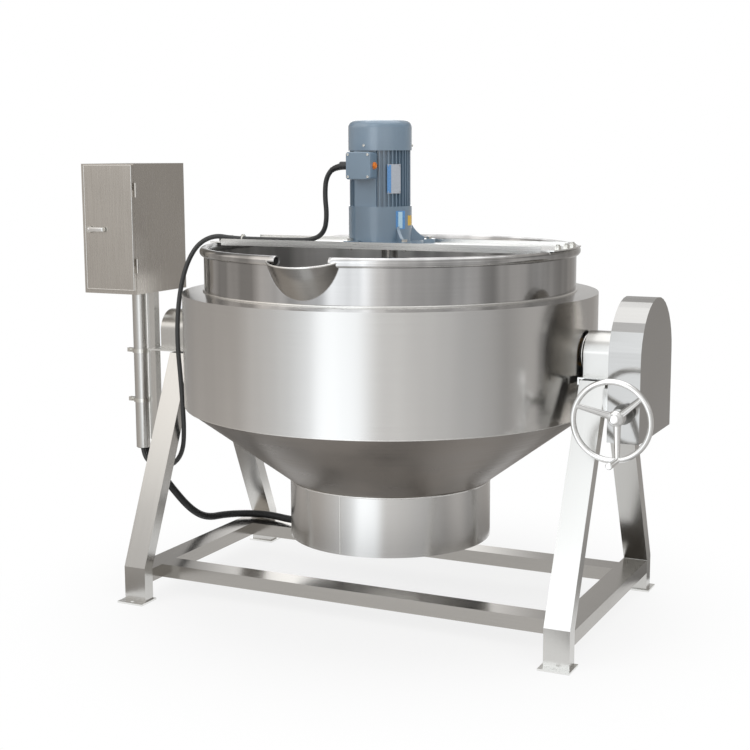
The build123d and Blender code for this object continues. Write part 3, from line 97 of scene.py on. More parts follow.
def new_material(name):
    """Makes an empty node material and returns its node tree."""
    material = bpy.data.materials.new(name)
    material.use_nodes = True
    material.node_tree.nodes.clear()
    MATERIALS[name] = material
    return material.node_tree


def finish_surface(tree, shader):
    """Joins the shader to the material's output."""
    add_node(tree, "ShaderNodeOutputMaterial", links={"Surface": shader.outputs[0]})


def ramp(tree, source, *pairs):
    """A colour ramp on the source; its stops are (place, grey or colour) pairs."""
    node = add_node(tree, "ShaderNodeValToRGB", links={"Fac": source})
    elements = node.color_ramp.elements
    while len(elements) < len(pairs):
        elements.new(0.5)
    for element, (place, value) in zip(elements, pairs):
        element.position = place
        element.color = value if isinstance(value, tuple) else (value, value, value, 1.0)
    return node.outputs[0]


def noise(tree, scale, detail, roughness=0.5):
    """Noise in the piece's own coordinates, scaled per metre along X, Y and Z."""
    place = add_node(tree, "ShaderNodeTexCoord").outputs["Object"]
    if isinstance(scale, tuple):
        stretch = add_node(tree, "ShaderNodeMapping", {"Scale": scale}, {"Vector": place})
        place, scale = stretch.outputs[0], 1.0
    values = {"Scale": scale, "Detail": detail, "Roughness": roughness}
    return add_node(tree, "ShaderNodeTexNoise", values, {"Vector": place}).outputs["Fac"]


def between(tree, source, low, high, source_low=0.0, source_high=1.0):
    """Turns the source's own range into the range from low to high."""
    values = {"From Min": source_low, "From Max": source_high, "To Min": low, "To Max": high}
    return add_node(tree, "ShaderNodeMapRange", values, {"Value": source}).outputs[0]


def relief(tree, source, strength, depth):
    """Fine relief from the source, depth in metres."""
    values = {"Strength": strength, "Distance": depth}
    return add_node(tree, "ShaderNodeBump", values, {"Height": source}).outputs[0]


def show(bm, name, body, material, sharp=40):
    """Turns a bmesh in row coordinates into a finished piece on a body."""
    bmesh.ops.recalc_face_normals(bm, faces=bm.faces)
    mesh = bpy.data.meshes.new(name)
    bm.to_mesh(mesh)
    bm.free()
    mesh.shade_smooth()
    mesh.set_sharp_from_angle(angle=math.radians(sharp))
    mesh.materials.append(MATERIALS[material])
    piece = bpy.data.objects.new(name, mesh)
    bpy.context.scene.collection.objects.link(piece)
    if body:
        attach(piece, body)
    return piece


def facing(centre, direction):
    """A matrix that puts local +Z along direction at centre."""
    turn = Vector((0, 0, 1)).rotation_difference(Vector(direction).normalized())
    return Matrix.Translation(centre) @ turn.to_matrix().to_4x4()


def disc(bm, matrix, radius, height, segments=24, bevel=0.0, top_radius=None):
    """A capped cylinder standing on matrix, with its top edge rounded."""
    made = bmesh.ops.create_cone(
        bm, cap_ends=True, segments=segments, radius1=radius,
        radius2=radius if top_radius is None else top_radius, depth=height,
        matrix=matrix @ Matrix.Translation((0, 0, height / 2)),
    )
    if bevel:
        up = matrix.to_3x3() @ Vector((0, 0, 1))
        base = matrix.translation
        top = {v for v in made["verts"] if (v.co - base).dot(up) > height * 0.75}
        edges = [e for e in bm.edges if e.verts[0] in top and e.verts[1] in top]
        bmesh.ops.bevel(
            bm, geom=edges, offset=bevel, offset_type="OFFSET", affect="EDGES",
            segments=2, profile=0.5, material=-1,
        )


def block(bm, low, high, bevel=0.0, segments=2):
    """A box between two corners with rounded edges."""
    low, high = Vector(low), Vector(high)
    size = high - low
    place = Matrix.Translation((low + high) / 2) @ Matrix.Diagonal((*size, 1))
    made = bmesh.ops.create_cube(bm, size=1, matrix=place)
    if bevel:
        faces = {f for v in made["verts"] for f in v.link_faces}
        edges = {e for f in faces for e in f.edges}
        bmesh.ops.bevel(
            bm, geom=list(edges), offset=bevel, offset_type="OFFSET", affect="EDGES",
            segments=segments, profile=0.5, material=-1,
        )


# ---- materials ----------------------------------------------------------
SATIN_ROUGHNESS = 0.38
FLAT = (1.0, 1.0, 0.0)  # leaves the distance from the upright axis


def brushed_stainless(name, colour, streak, rough=(0.22, 0.30), contrast=0.04, bump=0.02,
                      anisotropy=0.0, cloud=(2.0, 2.0, 2.0), haze=0.05, satin_within=None):
    """Rolled 304 stainless with a belt-brushed grain.

    The grain is finer than a millimetre; here its streaks are drawn a few
    millimetres wide so that they still show. streak is the number of
    streaks per metre along X, Y and Z: small along the grain. cloud is the
    number of clouds per metre and haze how far they change tone and polish.
    satin_within is a radius about the upright axis: the wall inside it is
    only ground, and duller.
    """
    tree = new_material(name)
    grain = noise(tree, streak, 4.0, 0.6)
    clouds = noise(tree, cloud, 2.0)
    dark, light = shades(colour, contrast)
    tone = ramp(tree, grain, (0.3, dark), (0.7, light))
    cloud_tone = ramp(tree, clouds, (0.35, 1.0 - haze), (0.65, 1.0))
    base = add_node(
        tree, "ShaderNodeMix", {0: 1.0}, {6: tone, 7: cloud_tone},
        data_type="RGBA", blend_type="MULTIPLY",
    )
    polish = add_node(tree, "ShaderNodeMath", {}, {0: grain, 1: clouds}, operation="MULTIPLY")
    roughness = between(tree, polish.outputs[0], *rough, 0.1, 0.4)
    if satin_within:
        place = add_node(tree, "ShaderNodeTexCoord")
        level_place = add_node(
            tree, "ShaderNodeVectorMath", {1: FLAT}, {0: place.outputs["Object"]},
            operation="MULTIPLY",
        )
        radius = add_node(
            tree, "ShaderNodeVectorMath", {}, {0: level_place.outputs[0]}, operation="LENGTH"
        )
        outside = add_node(
            tree, "ShaderNodeMath", {1: satin_within}, {0: radius.outputs["Value"]},
            operation="GREATER_THAN",
        )
        roughness = add_node(
            tree, "ShaderNodeMix", {2: SATIN_ROUGHNESS}, {0: outside.outputs[0], 3: roughness}
        ).outputs[0]
    shader = add_node(
        tree, "ShaderNodeBsdfPrincipled", {"Metallic": 1.0},
        {"Base Color": base.outputs[2], "Roughness": roughness,
         "Normal": relief(tree, grain, bump, 0.0004)},
    )
    if anisotropy:
        shader.inputs["Anisotropic"].default_value = anisotropy
        around = add_node(tree, "ShaderNodeTangent", direction_type="RADIAL", axis="Z")
        tree.links.new(around.outputs[0], shader.inputs["Tangent"])
    finish_surface(tree, shader)


def plain_metal(name, colour, rough, speckle, amount, metallic=1.0, bump=0.0):
    """Cast, ground or plated metal with a fine random speckle.

    speckle is the number of grains per metre and amount how far they
    change the tone.
    """
    tree = new_material(name)
    grains = noise(tree, speckle, 5.0, 0.6)
    dark, light = shades(colour, amount)
    shader = add_node(
        tree, "ShaderNodeBsdfPrincipled", {"Metallic": metallic},
        {"Base Color": ramp(tree, grains, (0.3, dark), (0.7, light)),
         "Roughness": between(tree, grains, *rough)},
    )
    if bump:
        tree.links.new(relief(tree, grains, bump, 0.0005), shader.inputs["Normal"])
    finish_surface(tree, shader)


def solid_finish(name, colour, rough, grain, amount=0.06, coat=0.0, bump=0.06, sheen=0.0):
    """Paint, plastic or rubber: a dielectric with a moulded or sprayed grain.

    grain is the number of grains per metre and amount how far broad
    patches of it change the tone.
    """
    tree = new_material(name)
    grains = noise(tree, grain, 3.0, 0.55)
    dark, light = shades(colour, amount)
    shader = add_node(
        tree, "ShaderNodeBsdfPrincipled",
        {"Metallic": 0.0, "IOR": 1.5, "Coat Weight": coat, "Sheen Weight": sheen},
        {"Base Color": ramp(tree, noise(tree, 9.0, 2.0), (0.35, dark), (0.65, light)),
         "Roughness": between(tree, grains, *rough),
         "Normal": relief(tree, grains, bump, 0.0003)},
    )
    finish_surface(tree, shader)


def make_materials(colours):
    """Every finish of the kettle, named for the real one."""
    # hairline-polished 304 sheet of the jacket and skirt: a fine level grain
    # under tall soft clouds left by the rolls
    brushed_stainless("stainless_round", colours.sheet, (2.0, 2.0, 420.0), (0.15, 0.22),
                      0.012, 0.004, anisotropy=0.35, cloud=(6.0, 6.0, 0.4), haze=0.10)
    # mirror-polished 304 of the pot: tall stripes in its tone and polish are painted reflections of
    # small waves in the sheet outside, and the wall is only ground inside
    brushed_stainless("stainless_polished", colours.polished, (3.0, 3.0, 240.0), (0.07, 0.13),
                      0.02, 0.006, cloud=(9.0, 9.0, 0.4), haze=0.50, satin_within=0.5985)
    # brake-formed case over the worm gear, a greyer polished sheet
    brushed_stainless("stainless_case", colours.case, (3.0, 3.0, 240.0), (0.10, 0.16),
                      0.02, 0.006, haze=0.06)
    # half pipe of the spout, left satin; its darker tone is painted shade, as the pipe faces down
    brushed_stainless("stainless_spout", colours.spout, (3.0, 3.0, 200.0), (0.15, 0.22),
                      0.015, 0.004, cloud=(4.0, 4.0, 4.0), haze=0.14)
    # pressed cone, dulled by forming, without mirror; its dark smoky grey-brown is painted shade,
    # standing in for the shadowed floor it reflects under the kettle
    brushed_stainless("stainless_cone_painted_shade", colours.cone, (2.0, 2.0, 160.0), (0.26, 0.42),
                      0.08, 0.04, cloud=(5.0, 5.0, 5.0), haze=0.20)
    # box section tube, grain along the length of the legs
    brushed_stainless("stainless_tube", colours.tube, (240.0, 4.0, 4.0), (0.22, 0.27),
                      0.015, 0.004, haze=0.06)
    # box section tube lying along X and along Y, grain along the length
    for name, streak in (("stainless_rail_x", (4.0, 240.0, 240.0)),
                         ("stainless_rail_y", (240.0, 4.0, 240.0))):
        brushed_stainless(name, colours.rail, streak, (0.14, 0.24), 0.03, 0.01)
    # flat 304 plate of the bridge and seats, satin and very light
    brushed_stainless("stainless_sheet", colours.plate, (5.0, 260.0, 260.0), (0.22, 0.32))
    # folded cover sheet, grain upright
    brushed_stainless("stainless_cover", colours.cover, (220.0, 220.0, 5.0), (0.20, 0.30),
                      0.015, 0.006, haze=0.10)
    # hand-laid weld, ground and polished bright
    plain_metal("polished_weld", "#E3E2DF", (0.14, 0.26), 160, 0.06, bump=0.12)
    # polished castings of the handwheel and its knob
    plain_metal("cast_aluminium", colours.handwheel, (0.12, 0.24), 260, 0.04, bump=0.03)
    # bearing blocks and worm housing as cast, under a thin grey primer
    plain_metal("grey_cast_iron", "#7B8082", (0.45, 0.6), 300, 0.12, metallic=0.0, bump=0.2)
    # turned bushes and worm wheel
    plain_metal("gunmetal_bronze", "#C79A55", (0.25, 0.4), 180, 0.08)
    # ground shafts
    plain_metal("ground_steel", "#B9B8B4", (0.16, 0.26), 220, 0.05)
    # chemically darkened steel: grey with a dull oil shine
    plain_metal("darkened_steel", "#7E7D7A", (0.28, 0.40), 240, 0.08)
    # plated panel inside the box, and bright plated screws, clamps and latch
    plain_metal("zinc_plate", "#C3C7C9", (0.25, 0.4), 120, 0.10)
    plain_metal("nickel_plate", "#D9D8D3", (0.12, 0.22), 160, 0.05)
    # sprayed machine enamel, semi-gloss with slight orange peel
    solid_finish("motor_enamel", colours.motor, (0.18, 0.27), 420, 0.03, coat=1.0, bump=0.03)
    # moulded nylon of the fan and strain relief, and of the cable gland
    solid_finish("black_nylon", "#191A1B", (0.35, 0.5), 500)
    solid_finish("grey_nylon", "#2E3032", (0.4, 0.5), 500)
    # sheath of the motor cable, and the flexible conduit of the heater
    solid_finish("chloroprene_rubber", "#2D2E2E", (0.42, 0.56), 420, bump=0.12, sheen=0.1)
    solid_finish("corrugated_nylon", "#1B1C1E", (0.35, 0.5), 300)
    # blades of the scrapers
    solid_finish("white_ptfe", "#E9E8E2", (0.35, 0.5), 200)
    # housings of the switchgear
    solid_finish("device_polyamide", "#2A2C2F", (0.4, 0.55), 300)
    # blanking plug of the terminal box
    solid_finish("orange_polymer", "#E8842E", (0.3, 0.4), 300)
    # glossy polyester film, left bare of any print
    solid_finish("pale_film", "#B9BFC8", (0.22, 0.32), 200, amount=0.04, bump=0.01, coat=0.3)
    solid_finish("blue_film", "#5E97D2", (0.22, 0.32), 200, amount=0.06, bump=0.01, coat=0.3)
    solid_finish("light_blue_film", "#BFE3F5", (0.22, 0.32), 200, amount=0.04, bump=0.01, coat=0.3)
    solid_finish("yellow_film", "#E6B93C", (0.25, 0.35), 200, amount=0.04, bump=0.01, coat=0.3)
    # cable tie
    solid_finish("white_nylon", "#E4E2DA", (0.35, 0.45), 300)
    # rubber bush in the cable pipe, and a black disc in the open end of the cut rim that is painted
    # shade, darkening its shallow bore
    solid_finish("black_rubber_and_painted_shade", "#151515", (0.6, 0.7), 300)


NODE_FINISH = {
    "stainless_tube": (
        "front_left_leg", "rear_left_leg", "front_right_leg", "rear_right_leg", "box_post",
        "conduit_pipe", "left_bearing_cover", "right_bearing_cover",
    ),
    "stainless_rail_y": ("side_rails",),
    "stainless_rail_x": ("cross_rails",),
    "stainless_sheet": (
        "foot_plates", "left_seat_plate", "right_seat_plate", "motor_bridge", "gear_case_mount",
        "heater_cover",
    ),
    "stainless_cover": (
        "gear_case_back", "control_box", "box_door", "hinge_brackets", "door_hinges",
    ),
    "stainless_round": (
        "outer_shell", "skirt", "steam_jacket", "agitator_shaft", "anchor_frame",
    ),
    # the cone's dark finish holds painted shade
    "stainless_cone_painted_shade": ("cone_shell",),
    "stainless_spout": ("pouring_spout",),
    "stainless_polished": ("inner_pot", "heater_elements"),
    "stainless_case": ("gear_case_hood", "gear_case_body"),
    "cast_aluminium": ("handwheel", "crank_knob"),
    "darkened_steel": ("shaft_collar",),
    "grey_cast_iron": ("left_bearing_block", "right_bearing_block", "worm_housing"),
    "gunmetal_bronze": ("bearing_bushes", "worm_wheel"),
    "ground_steel": ("trunnions", "worm_shaft", "motor_rotor"),
    "nickel_plate": ("pipe_clamps", "rim_fixings", "flange_bolts", "door_latch"),
    "zinc_plate": ("mounting_panel",),
    "device_polyamide": ("contactors", "terminal_strip"),
    "motor_enamel": ("gear_housing", "motor_stator", "fan_cowl", "terminal_box", "terminal_cover"),
    "grey_nylon": ("cable_gland",),
    "black_nylon": ("cooling_fan",),
    "white_ptfe": ("scrapers",),
    "chloroprene_rubber": ("motor_cable",),
    "corrugated_nylon": ("heater_conduit",),
}


# ---- settings -----------------------------------------------------------
class KettleColours(bpy.types.PropertyGroup):
    sheet: StringProperty(name="Sheet", description="Hairline-polished jacket", default="#D8D7D5")
    polished: StringProperty(name="Polished", description="Mirror-polished pot", default="#D4D3D2")
    case: StringProperty(name="Gear case", description="Case of the worm gear", default="#B4B3B1")
    # the spout's darker default is painted shade, as the pipe faces down
    spout: StringProperty(name="Spout", description="Satin half pipe", default="#93908C")
    # the cone's dark default is painted shade from the shadowed floor under the kettle
    cone: StringProperty(name="Cone", description="Formed cone under the jacket", default="#7E7770")
    tube: StringProperty(name="Tube", description="Box section of the legs", default="#D0CFCC")
    rail: StringProperty(name="Rail", description="Box section of the rails", default="#AAA7A2")
    plate: StringProperty(name="Plate", description="Bridge and seat plates", default="#EAEAE8")
    cover: StringProperty(name="Cover", description="Folded sheet of the covers", default="#C6C2BC")
    handwheel: StringProperty(name="Wheel", description="Polished aluminium", default="#ECECEB")
    motor: StringProperty(name="Motor", description="Blue-grey machine enamel", default="#788D9F")


class KettleCables(bpy.types.PropertyGroup):
    motor_diameter: FloatProperty(
        name="Motor cable", description="Diameter of the motor cable",
        default=0.016, unit="LENGTH",
    )
    conduit_diameter: FloatProperty(
        name="Conduit", description="Outside diameter of the corrugated conduit",
        default=0.027, unit="LENGTH",
    )
    conduit_pitch: FloatProperty(
        name="Pitch", description="Distance between two ribs of the conduit",
        default=0.006, unit="LENGTH",
    )


class KettleStage(bpy.types.PropertyGroup):
    eye: FloatVectorProperty(
        name="Eye", description="Camera position",
        default=(1.9613, -4.1604, 1.4674), subtype="TRANSLATION",
    )
    yaw: FloatProperty(
        name="Yaw", description="Turn to the left of +Y",
        default=math.radians(25.86), subtype="ANGLE",
    )
    pitch: FloatProperty(
        name="Pitch", description="Tilt below level", default=math.radians(8.90), subtype="ANGLE"
    )
    roll: FloatProperty(
        name="Roll", description="Turn about the view axis",
        default=math.radians(-0.24), subtype="ANGLE",
    )
    lens: FloatProperty(name="Lens", description="Focal length in millimetres", default=67.97)
    key_power: FloatProperty(
        name="Key", description="Power of the large key lamp", default=70.0, unit="POWER"
    )
    fill_power: FloatProperty(
        name="Fill", description="Power of each of the two fill lamps", default=40.0, unit="POWER"
    )


# ---- cables -------------------------------------------------------------
# Route points in millimetres, the same as in the part's source.
MOTOR_CABLE_ROUTE = [
    (-76, -114.5, 1429), (-138, -114, 1428.5), (-172, -112, 1393), (-178, -110, 1335),
    (-172, -108, 1268), (-183, -107, 1215), (-226, -106, 1190), (-306, -107, 1188.5),
    (-425, -103, 1188), (-530, -107, 1189.5), (-591, -117, 1199), (-644, -136, 1173),
    (-677, -156, 1112), (-692, -178, 1030), (-695, -198, 930), (-688, -212, 830),
    (-676, -217, 730), (-672, -214, 630), (-675, -205, 545), (-690, -191, 475),
    (-726, -175, 426), (-783, -153, 396), (-845, -128, 387), (-906, -103, 400),
    (-928, -92.5, 447), (-929, -93.5, 492),
]
HEATER_CONDUIT_ROUTE = [
    (-930.5, -70.8, 485), (-930.5, -70.5, 425), (-905, -36, 356), (-872, 14, 268),
    (-848, 86, 182), (-836, 172, 132), (-806, 262, 128), (-742, 318, 125),
    (-655, 332, 125), (-562, 302, 125.5), (-445, 243, 142), (-338, 188, 168),
    (-240, 138, 214), (-172, 99, 254), (-108, 62.4, 268),
]
# Distance between rings along a cable and along its trim, and the sides of
# each kind of tube.
CABLE_SPACING, TRIM_SPACING = 0.006, 0.003
CABLE_SIDES, CONDUIT_SIDES, BEAD_SIDES = 14, 16, 8
# Depth of the conduit's corrugation, and its share at each ring of a rib.
GROOVE, RIB_PROFILE = 0.0016, (0.0, 0.25, 1.0, 0.25)


def spline_points(route, spacing):
    """Evenly spaced points along the route's smooth NURBS line, in metres."""
    curve = bpy.data.curves.new("route", "CURVE")
    curve.dimensions = "3D"
    curve.resolution_u = 48
    spline = curve.splines.new("NURBS")
    spline.points.add(len(route) - 1)
    for point, place in zip(spline.points, route):
        point.co = (*(c * MM for c in place), 1.0)
    spline.order_u = 3
    spline.use_endpoint_u = True
    line = bpy.data.objects.new("route", curve)
    bpy.context.scene.collection.objects.link(line)
    mesh = bpy.data.meshes.new_from_object(line)
    dense = [v.co.copy() for v in mesh.vertices]
    bpy.data.objects.remove(line)
    bpy.data.meshes.remove(mesh)
    bpy.data.curves.remove(curve)
    travelled = [0.0]
    for a, b in zip(dense, dense[1:]):
        travelled.append(travelled[-1] + (b - a).length)
    total = travelled[-1]
    count = max(8, round(total / spacing))
    points, k = [], 0
    for i in range(count + 1):
        target = total * i / count
        while k < len(dense) - 2 and travelled[k + 1] < target:
            k += 1
        share = (target - travelled[k]) / max(travelled[k + 1] - travelled[k], 1e-9)
        points.append(dense[k].lerp(dense[k + 1], min(max(share, 0), 1)))
    return points, total


def tube_along(points, radius_at, sides):
    """A closed tube through the points; radius_at gives each ring's radius."""
    bm = bmesh.new()
    forward = (points[1] - points[0]).normalized()
    across = forward.orthogonal().normalized()
    ring = None
    for i, point in enumerate(points):
        ahead = points[min(i + 1, len(points) - 1)] - points[max(i - 1, 0)]
        new_forward = ahead.normalized()
        across = (forward.rotation_difference(new_forward) @ across).normalized()
        forward = new_forward
        third = forward.cross(across).normalized()
        basis = Matrix((across, third, forward)).transposed().to_4x4()
        place = Matrix.Translation(point) @ basis
        if ring is None:
            made = bmesh.ops.create_circle(
                bm, cap_ends=True, segments=sides, radius=radius_at(i), matrix=place
            )
            ring = made["verts"]
            unit = [basis.inverted().to_3x3() @ (v.co - point) / radius_at(i) for v in ring]
            edges = list(bm.edges)
            continue
        made = bmesh.ops.extrude_edge_only(bm, edges=edges)
        fresh = [g for g in made["geom"] if isinstance(g, bmesh.types.BMVert)]
        edges = [g for g in made["geom"] if isinstance(g, bmesh.types.BMEdge)
                 and all(v in fresh for v in g.verts)]
        order = {}
        for v in fresh:
            near = min(range(len(ring)), key=lambda k: (ring[k].co - v.co).length_squared)
            order[near] = v
        ring = [order[k] for k in range(sides)]
        for k, v in enumerate(ring):
            v.co = place @ (unit[k] * radius_at(i))
    bmesh.ops.contextual_create(bm, geom=edges)
    return bm


class KETTLE_OT_cables(bpy.types.Operator):
    """Motor cable and heater conduit"""
    bl_idname = "kettle.cables"
    bl_label = "Cables"

    def execute(self, context):
        sizes = context.scene.kettle_cables
        points, length = spline_points(MOTOR_CABLE_ROUTE, CABLE_SPACING)
        radius = sizes.motor_diameter / 2
        bm = tube_along(points, lambda i: radius, CABLE_SIDES)
        cable = show(bm, "motor_cable_flex", None, "chloroprene_rubber", 60)
        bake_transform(cable)
        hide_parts("motor_cable")

        per_rib = len(RIB_PROFILE)
        points, length = spline_points(HEATER_CONDUIT_ROUTE, sizes.conduit_pitch / per_rib)
        radius = sizes.conduit_diameter / 2
        bm = tube_along(points, lambda i: radius - GROOVE * RIB_PROFILE[i % per_rib],
                        CONDUIT_SIDES)
        conduit = show(bm, "heater_conduit_flex", None, "corrugated_nylon", 60)
        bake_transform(conduit)
        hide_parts("heater_conduit")
        return {"FINISHED"}


class KETTLE_OT_finishes(bpy.types.Operator):
    """Gives every rigid part its metal, paint or plastic"""
    bl_idname = "kettle.finishes"
    bl_label = "Finishes"

    def execute(self, context):
        make_materials(context.scene.kettle_colours)
        for finish, names in NODE_FINISH.items():
            for name in names:
                mesh = NODES[name].data
                if not mesh.materials:
                    mesh.materials.append(None)
                for i in range(len(mesh.materials)):
                    mesh.materials[i] = MATERIALS[finish]
        return {"FINISHED"}


# ---- trim ---------------------------------------------------------------
# Measures of the solids that the trim lies on, in metres from the floor and
# from the kettle's upright axis.
POT_R, SHELL_R, SHELL_EDGE_Z = 0.600, 0.672, 0.665
SKIRT_R, SKIRT_TOP_Z = 0.331, 0.412
SHOULDER_Z = 1.034
SPOUT_R, SPOUT_APEX_Z, LIP_Z, LIP_Y = 0.128, 1.048, 1.147, -0.666
SPOUT_LEAN, LIP_SLOPE = 2 / 3, 0.2
RIM_R, RIM_Z, RIM_TUBE_R, RIM_GAP_ANGLE = 0.598, 1.160, 0.015, 10
TRUNNION_Z, BOSS_R = 0.860, 0.0565
MOTOR_AXIS, HOUSING_R, COWL_R = Vector((-0.034, 0, 0)), 0.103, 0.1029
SHAFT_X, SHAFT_Z, HUB_FRONT = 0.838, 0.710, -0.268
# Ring welds: radius, height, bead and slot.
RING_WELDS = {
    "pot_weld": (POT_R + 0.0015, SHOULDER_Z + 0.001, 0.0038, "stainless_polished"),
    "jacket_edge_weld": (SHELL_R - 0.0032, SHELL_EDGE_Z - 0.001, 0.0032, "stainless_brushed"),
    "skirt_weld": (SKIRT_R + 0.0015, SKIRT_TOP_Z, 0.0034, "stainless_brushed"),
}
# Upright seams: radius, direction in degrees, foot, head and bead.
UPRIGHT_SEAMS = {
    "skirt_seam": (SKIRT_R, -93.5, 0.224, SKIRT_TOP_Z, 0.0018),
    "jacket_seam": (SHELL_R - 0.0004, 125, SHELL_EDGE_Z, 1.026, 0.0014),
    "pot_seam": (POT_R, 128, SHOULDER_Z, 1.143, 0.0014),
}
# Bare plates and films of the motor: finish, slot, gap to the casting,
# direction in degrees, width, foot, head and thickness.
STATOR_FILMS = {
    "nameplate": ("pale_film", "bright_bolts", 0.0004, -37, 0.048, 1.341, 1.433, 0.0009),
    "nameplate_stripe": ("blue_film", "motor_paint", 0.0012, -47.5, 0.013, 1.343, 1.431, 0.0004),
}
HOUSING_FILMS = {
    "gearbox_label": ("blue_film", "motor_paint", 0.0003, -25, 0.038, 1.228, 1.286, 0.0004),
    "gearbox_label_field": (
        "light_blue_film", "motor_paint", 0.0007, -26, 0.017, 1.231, 1.283, 0.0003,
    ),
    "rotation_label": ("yellow_film", "motor_paint", 0.0003, 4, 0.034, 1.238, 1.270, 0.0004),
}


def on_ring(radius, degrees, z):
    """A point about the kettle's upright axis."""
    turn = math.radians(degrees)
    return Vector((radius * math.cos(turn), radius * math.sin(turn), z))


def on_motor(radius, degrees, z):
    """A point about the motor's axis, and the way out from that axis."""
    return MOTOR_AXIS + on_ring(radius, degrees, z), on_ring(1.0, degrees, 0)


def rim_cut(side):
    """Centre of the rolled rim's cut beside the spout, and the way into the gap."""
    degrees = RIM_GAP_ANGLE * side - 90
    turn = math.radians(degrees)
    return on_ring(RIM_R, degrees, RIM_Z), Vector((math.sin(turn), -math.cos(turn), 0)) * side


def ring(bm, radius, z, bead, sides=10, steps=128):
    """A round bead laid in a level ring about the kettle's axis."""
    place = Matrix.Translation((radius, 0, z)) @ Matrix.Rotation(math.pi / 2, 4, "X")
    made = bmesh.ops.create_circle(bm, segments=sides, radius=bead, matrix=place)
    edges = {e for v in made["verts"] for e in v.link_edges}
    bmesh.ops.spin(
        bm, geom=[*made["verts"], *edges], cent=(0, 0, 0), axis=(0, 0, 1),
        angle=2 * math.pi, steps=steps, use_merge=True,
    )


def bead_along(points, radius, name, material="polished_weld"):
    """A weld bead or rolled edge of the kettle that follows the points."""
    bm = tube_along(points, lambda i: radius, BEAD_SIDES)
    show(bm, name, "kettle", material, 60)


def spout_seam():
    """Where the leaning half pipe meets the pot's wall, from lip to lip."""
    points, half = [], 12
    for i in range(-half, half + 1):
        t = i / half
        z = SPOUT_APEX_Z + (LIP_Z - SPOUT_APEX_Z) * t * t
        axis_y = SPOUT_R - POT_R - SPOUT_LEAN * (z - SPOUT_APEX_Z)
        y = (POT_R ** 2 - SPOUT_R ** 2 + axis_y ** 2) / (2 * axis_y)
        x = math.copysign(math.sqrt(max(POT_R ** 2 - y * y, 0.0)), t)
        points.append(Vector((x, y, z)))
    return points


def spout_lip(radius, half_angle=66):
    """The sloping top edge of the half pipe of that radius."""
    points, half = [], 16
    for i in range(-half, half + 1):
        t = math.radians(half_angle * i / half)
        axis_drop = SPOUT_LEAN * (LIP_Z - LIP_SLOPE * LIP_Y - SPOUT_APEX_Z)
        y = (SPOUT_R - POT_R - axis_drop - radius * math.cos(t)) / (1 + SPOUT_LEAN * LIP_SLOPE)
        points.append(Vector((radius * math.sin(t), y, LIP_Z + LIP_SLOPE * (y - LIP_Y))))
    return points


class KETTLE_OT_welds(bpy.types.Operator):
    """Polished weld beads and rolled edges of the kettle"""
    bl_idname = "kettle.welds"
    bl_label = "Welds"

    def execute(self, context):
        for name, (radius, z, bead, slot) in RING_WELDS.items():
            bm = bmesh.new()
            ring(bm, radius, z, bead)
            show(bm, name, "kettle", "polished_weld", 60)
        for name, (radius, degrees, low, high, bead) in UPRIGHT_SEAMS.items():
            foot, head = on_ring(radius, degrees, low), on_ring(radius, degrees, high)
            bead_along([foot.lerp(head, k / 8) for k in range(9)], bead, name)
        foot = on_ring(SKIRT_R + 0.001, 125, SKIRT_TOP_Z)
        edge = on_ring(SHELL_R - 0.003, 125, SHELL_EDGE_Z - 0.001)
        bead_along([foot.lerp(edge, k / 10) for k in range(11)], 0.0016, "cone_seam")
        bead_along(spout_seam(), 0.0011, "spout_weld", "stainless_polished")
        bead_along(spout_lip(SPOUT_R - 0.0015), 0.0028, "spout_lip_bead")
        # ring weld of each trunnion boss on the curved jacket
        steps = 48
        for side, name in ((-1, "left_boss_weld"), (1, "right_boss_weld")):
            points = []
            for k in range(steps + 1):
                t = 2 * math.pi * k / steps
                y = BOSS_R * math.cos(t)
                points.append(Vector((side * math.sqrt(SHELL_R ** 2 - y * y), y,
                                      TRUNNION_Z + BOSS_R * math.sin(t))))
            bead_along(points, 0.0035, name)
        return {"FINISHED"}


def screw(bm, centre, direction, radius, height, socket=0.5):
    """A round-headed screw with a sunk hexagon socket."""
    place = facing(centre, direction)
    disc(bm, place, radius, height, 20, radius * 0.25)
    up = Vector(direction).normalized()
    top = max(bm.faces, key=lambda f: (f.calc_center_median() - Vector(centre)).dot(up)
              - 10 * (f.calc_center_median() - Vector(centre) - up * height).length)
    bmesh.ops.inset_region(bm, faces=[top], thickness=radius * (1 - socket) * 0.8)
    bmesh.ops.translate(bm, verts=list(top.verts), vec=-up * height * 0.55)


def film(bm, axis, radius, degrees, width, low, high, thickness):
    """A thin plate or label bent round an upright axis."""
    half = math.degrees(width / radius) / 2
    foot = axis + on_ring(radius, degrees - half, low)
    head = axis + on_ring(radius, degrees - half, high)
    verts = [bm.verts.new(foot), bm.verts.new(head)]
    edge = bm.edges.new(verts)
    bmesh.ops.spin(
        bm, geom=[*verts, edge], cent=axis, axis=(0, 0, 1),
        angle=width / radius, steps=10,
    )
    bmesh.ops.recalc_face_normals(bm, faces=bm.faces)
    bmesh.ops.solidify(bm, geom=list(bm.faces), thickness=thickness)


def films(table, casting_r):
    """Lays each film of the table on the motor's round casting."""
    for name, (finish, slot, gap, degrees, width, low, high, thickness) in table.items():
        bm = bmesh.new()
        film(bm, MOTOR_AXIS, casting_r + gap, degrees, width, low, high, thickness)
        show(bm, name, "kettle", finish, 50)


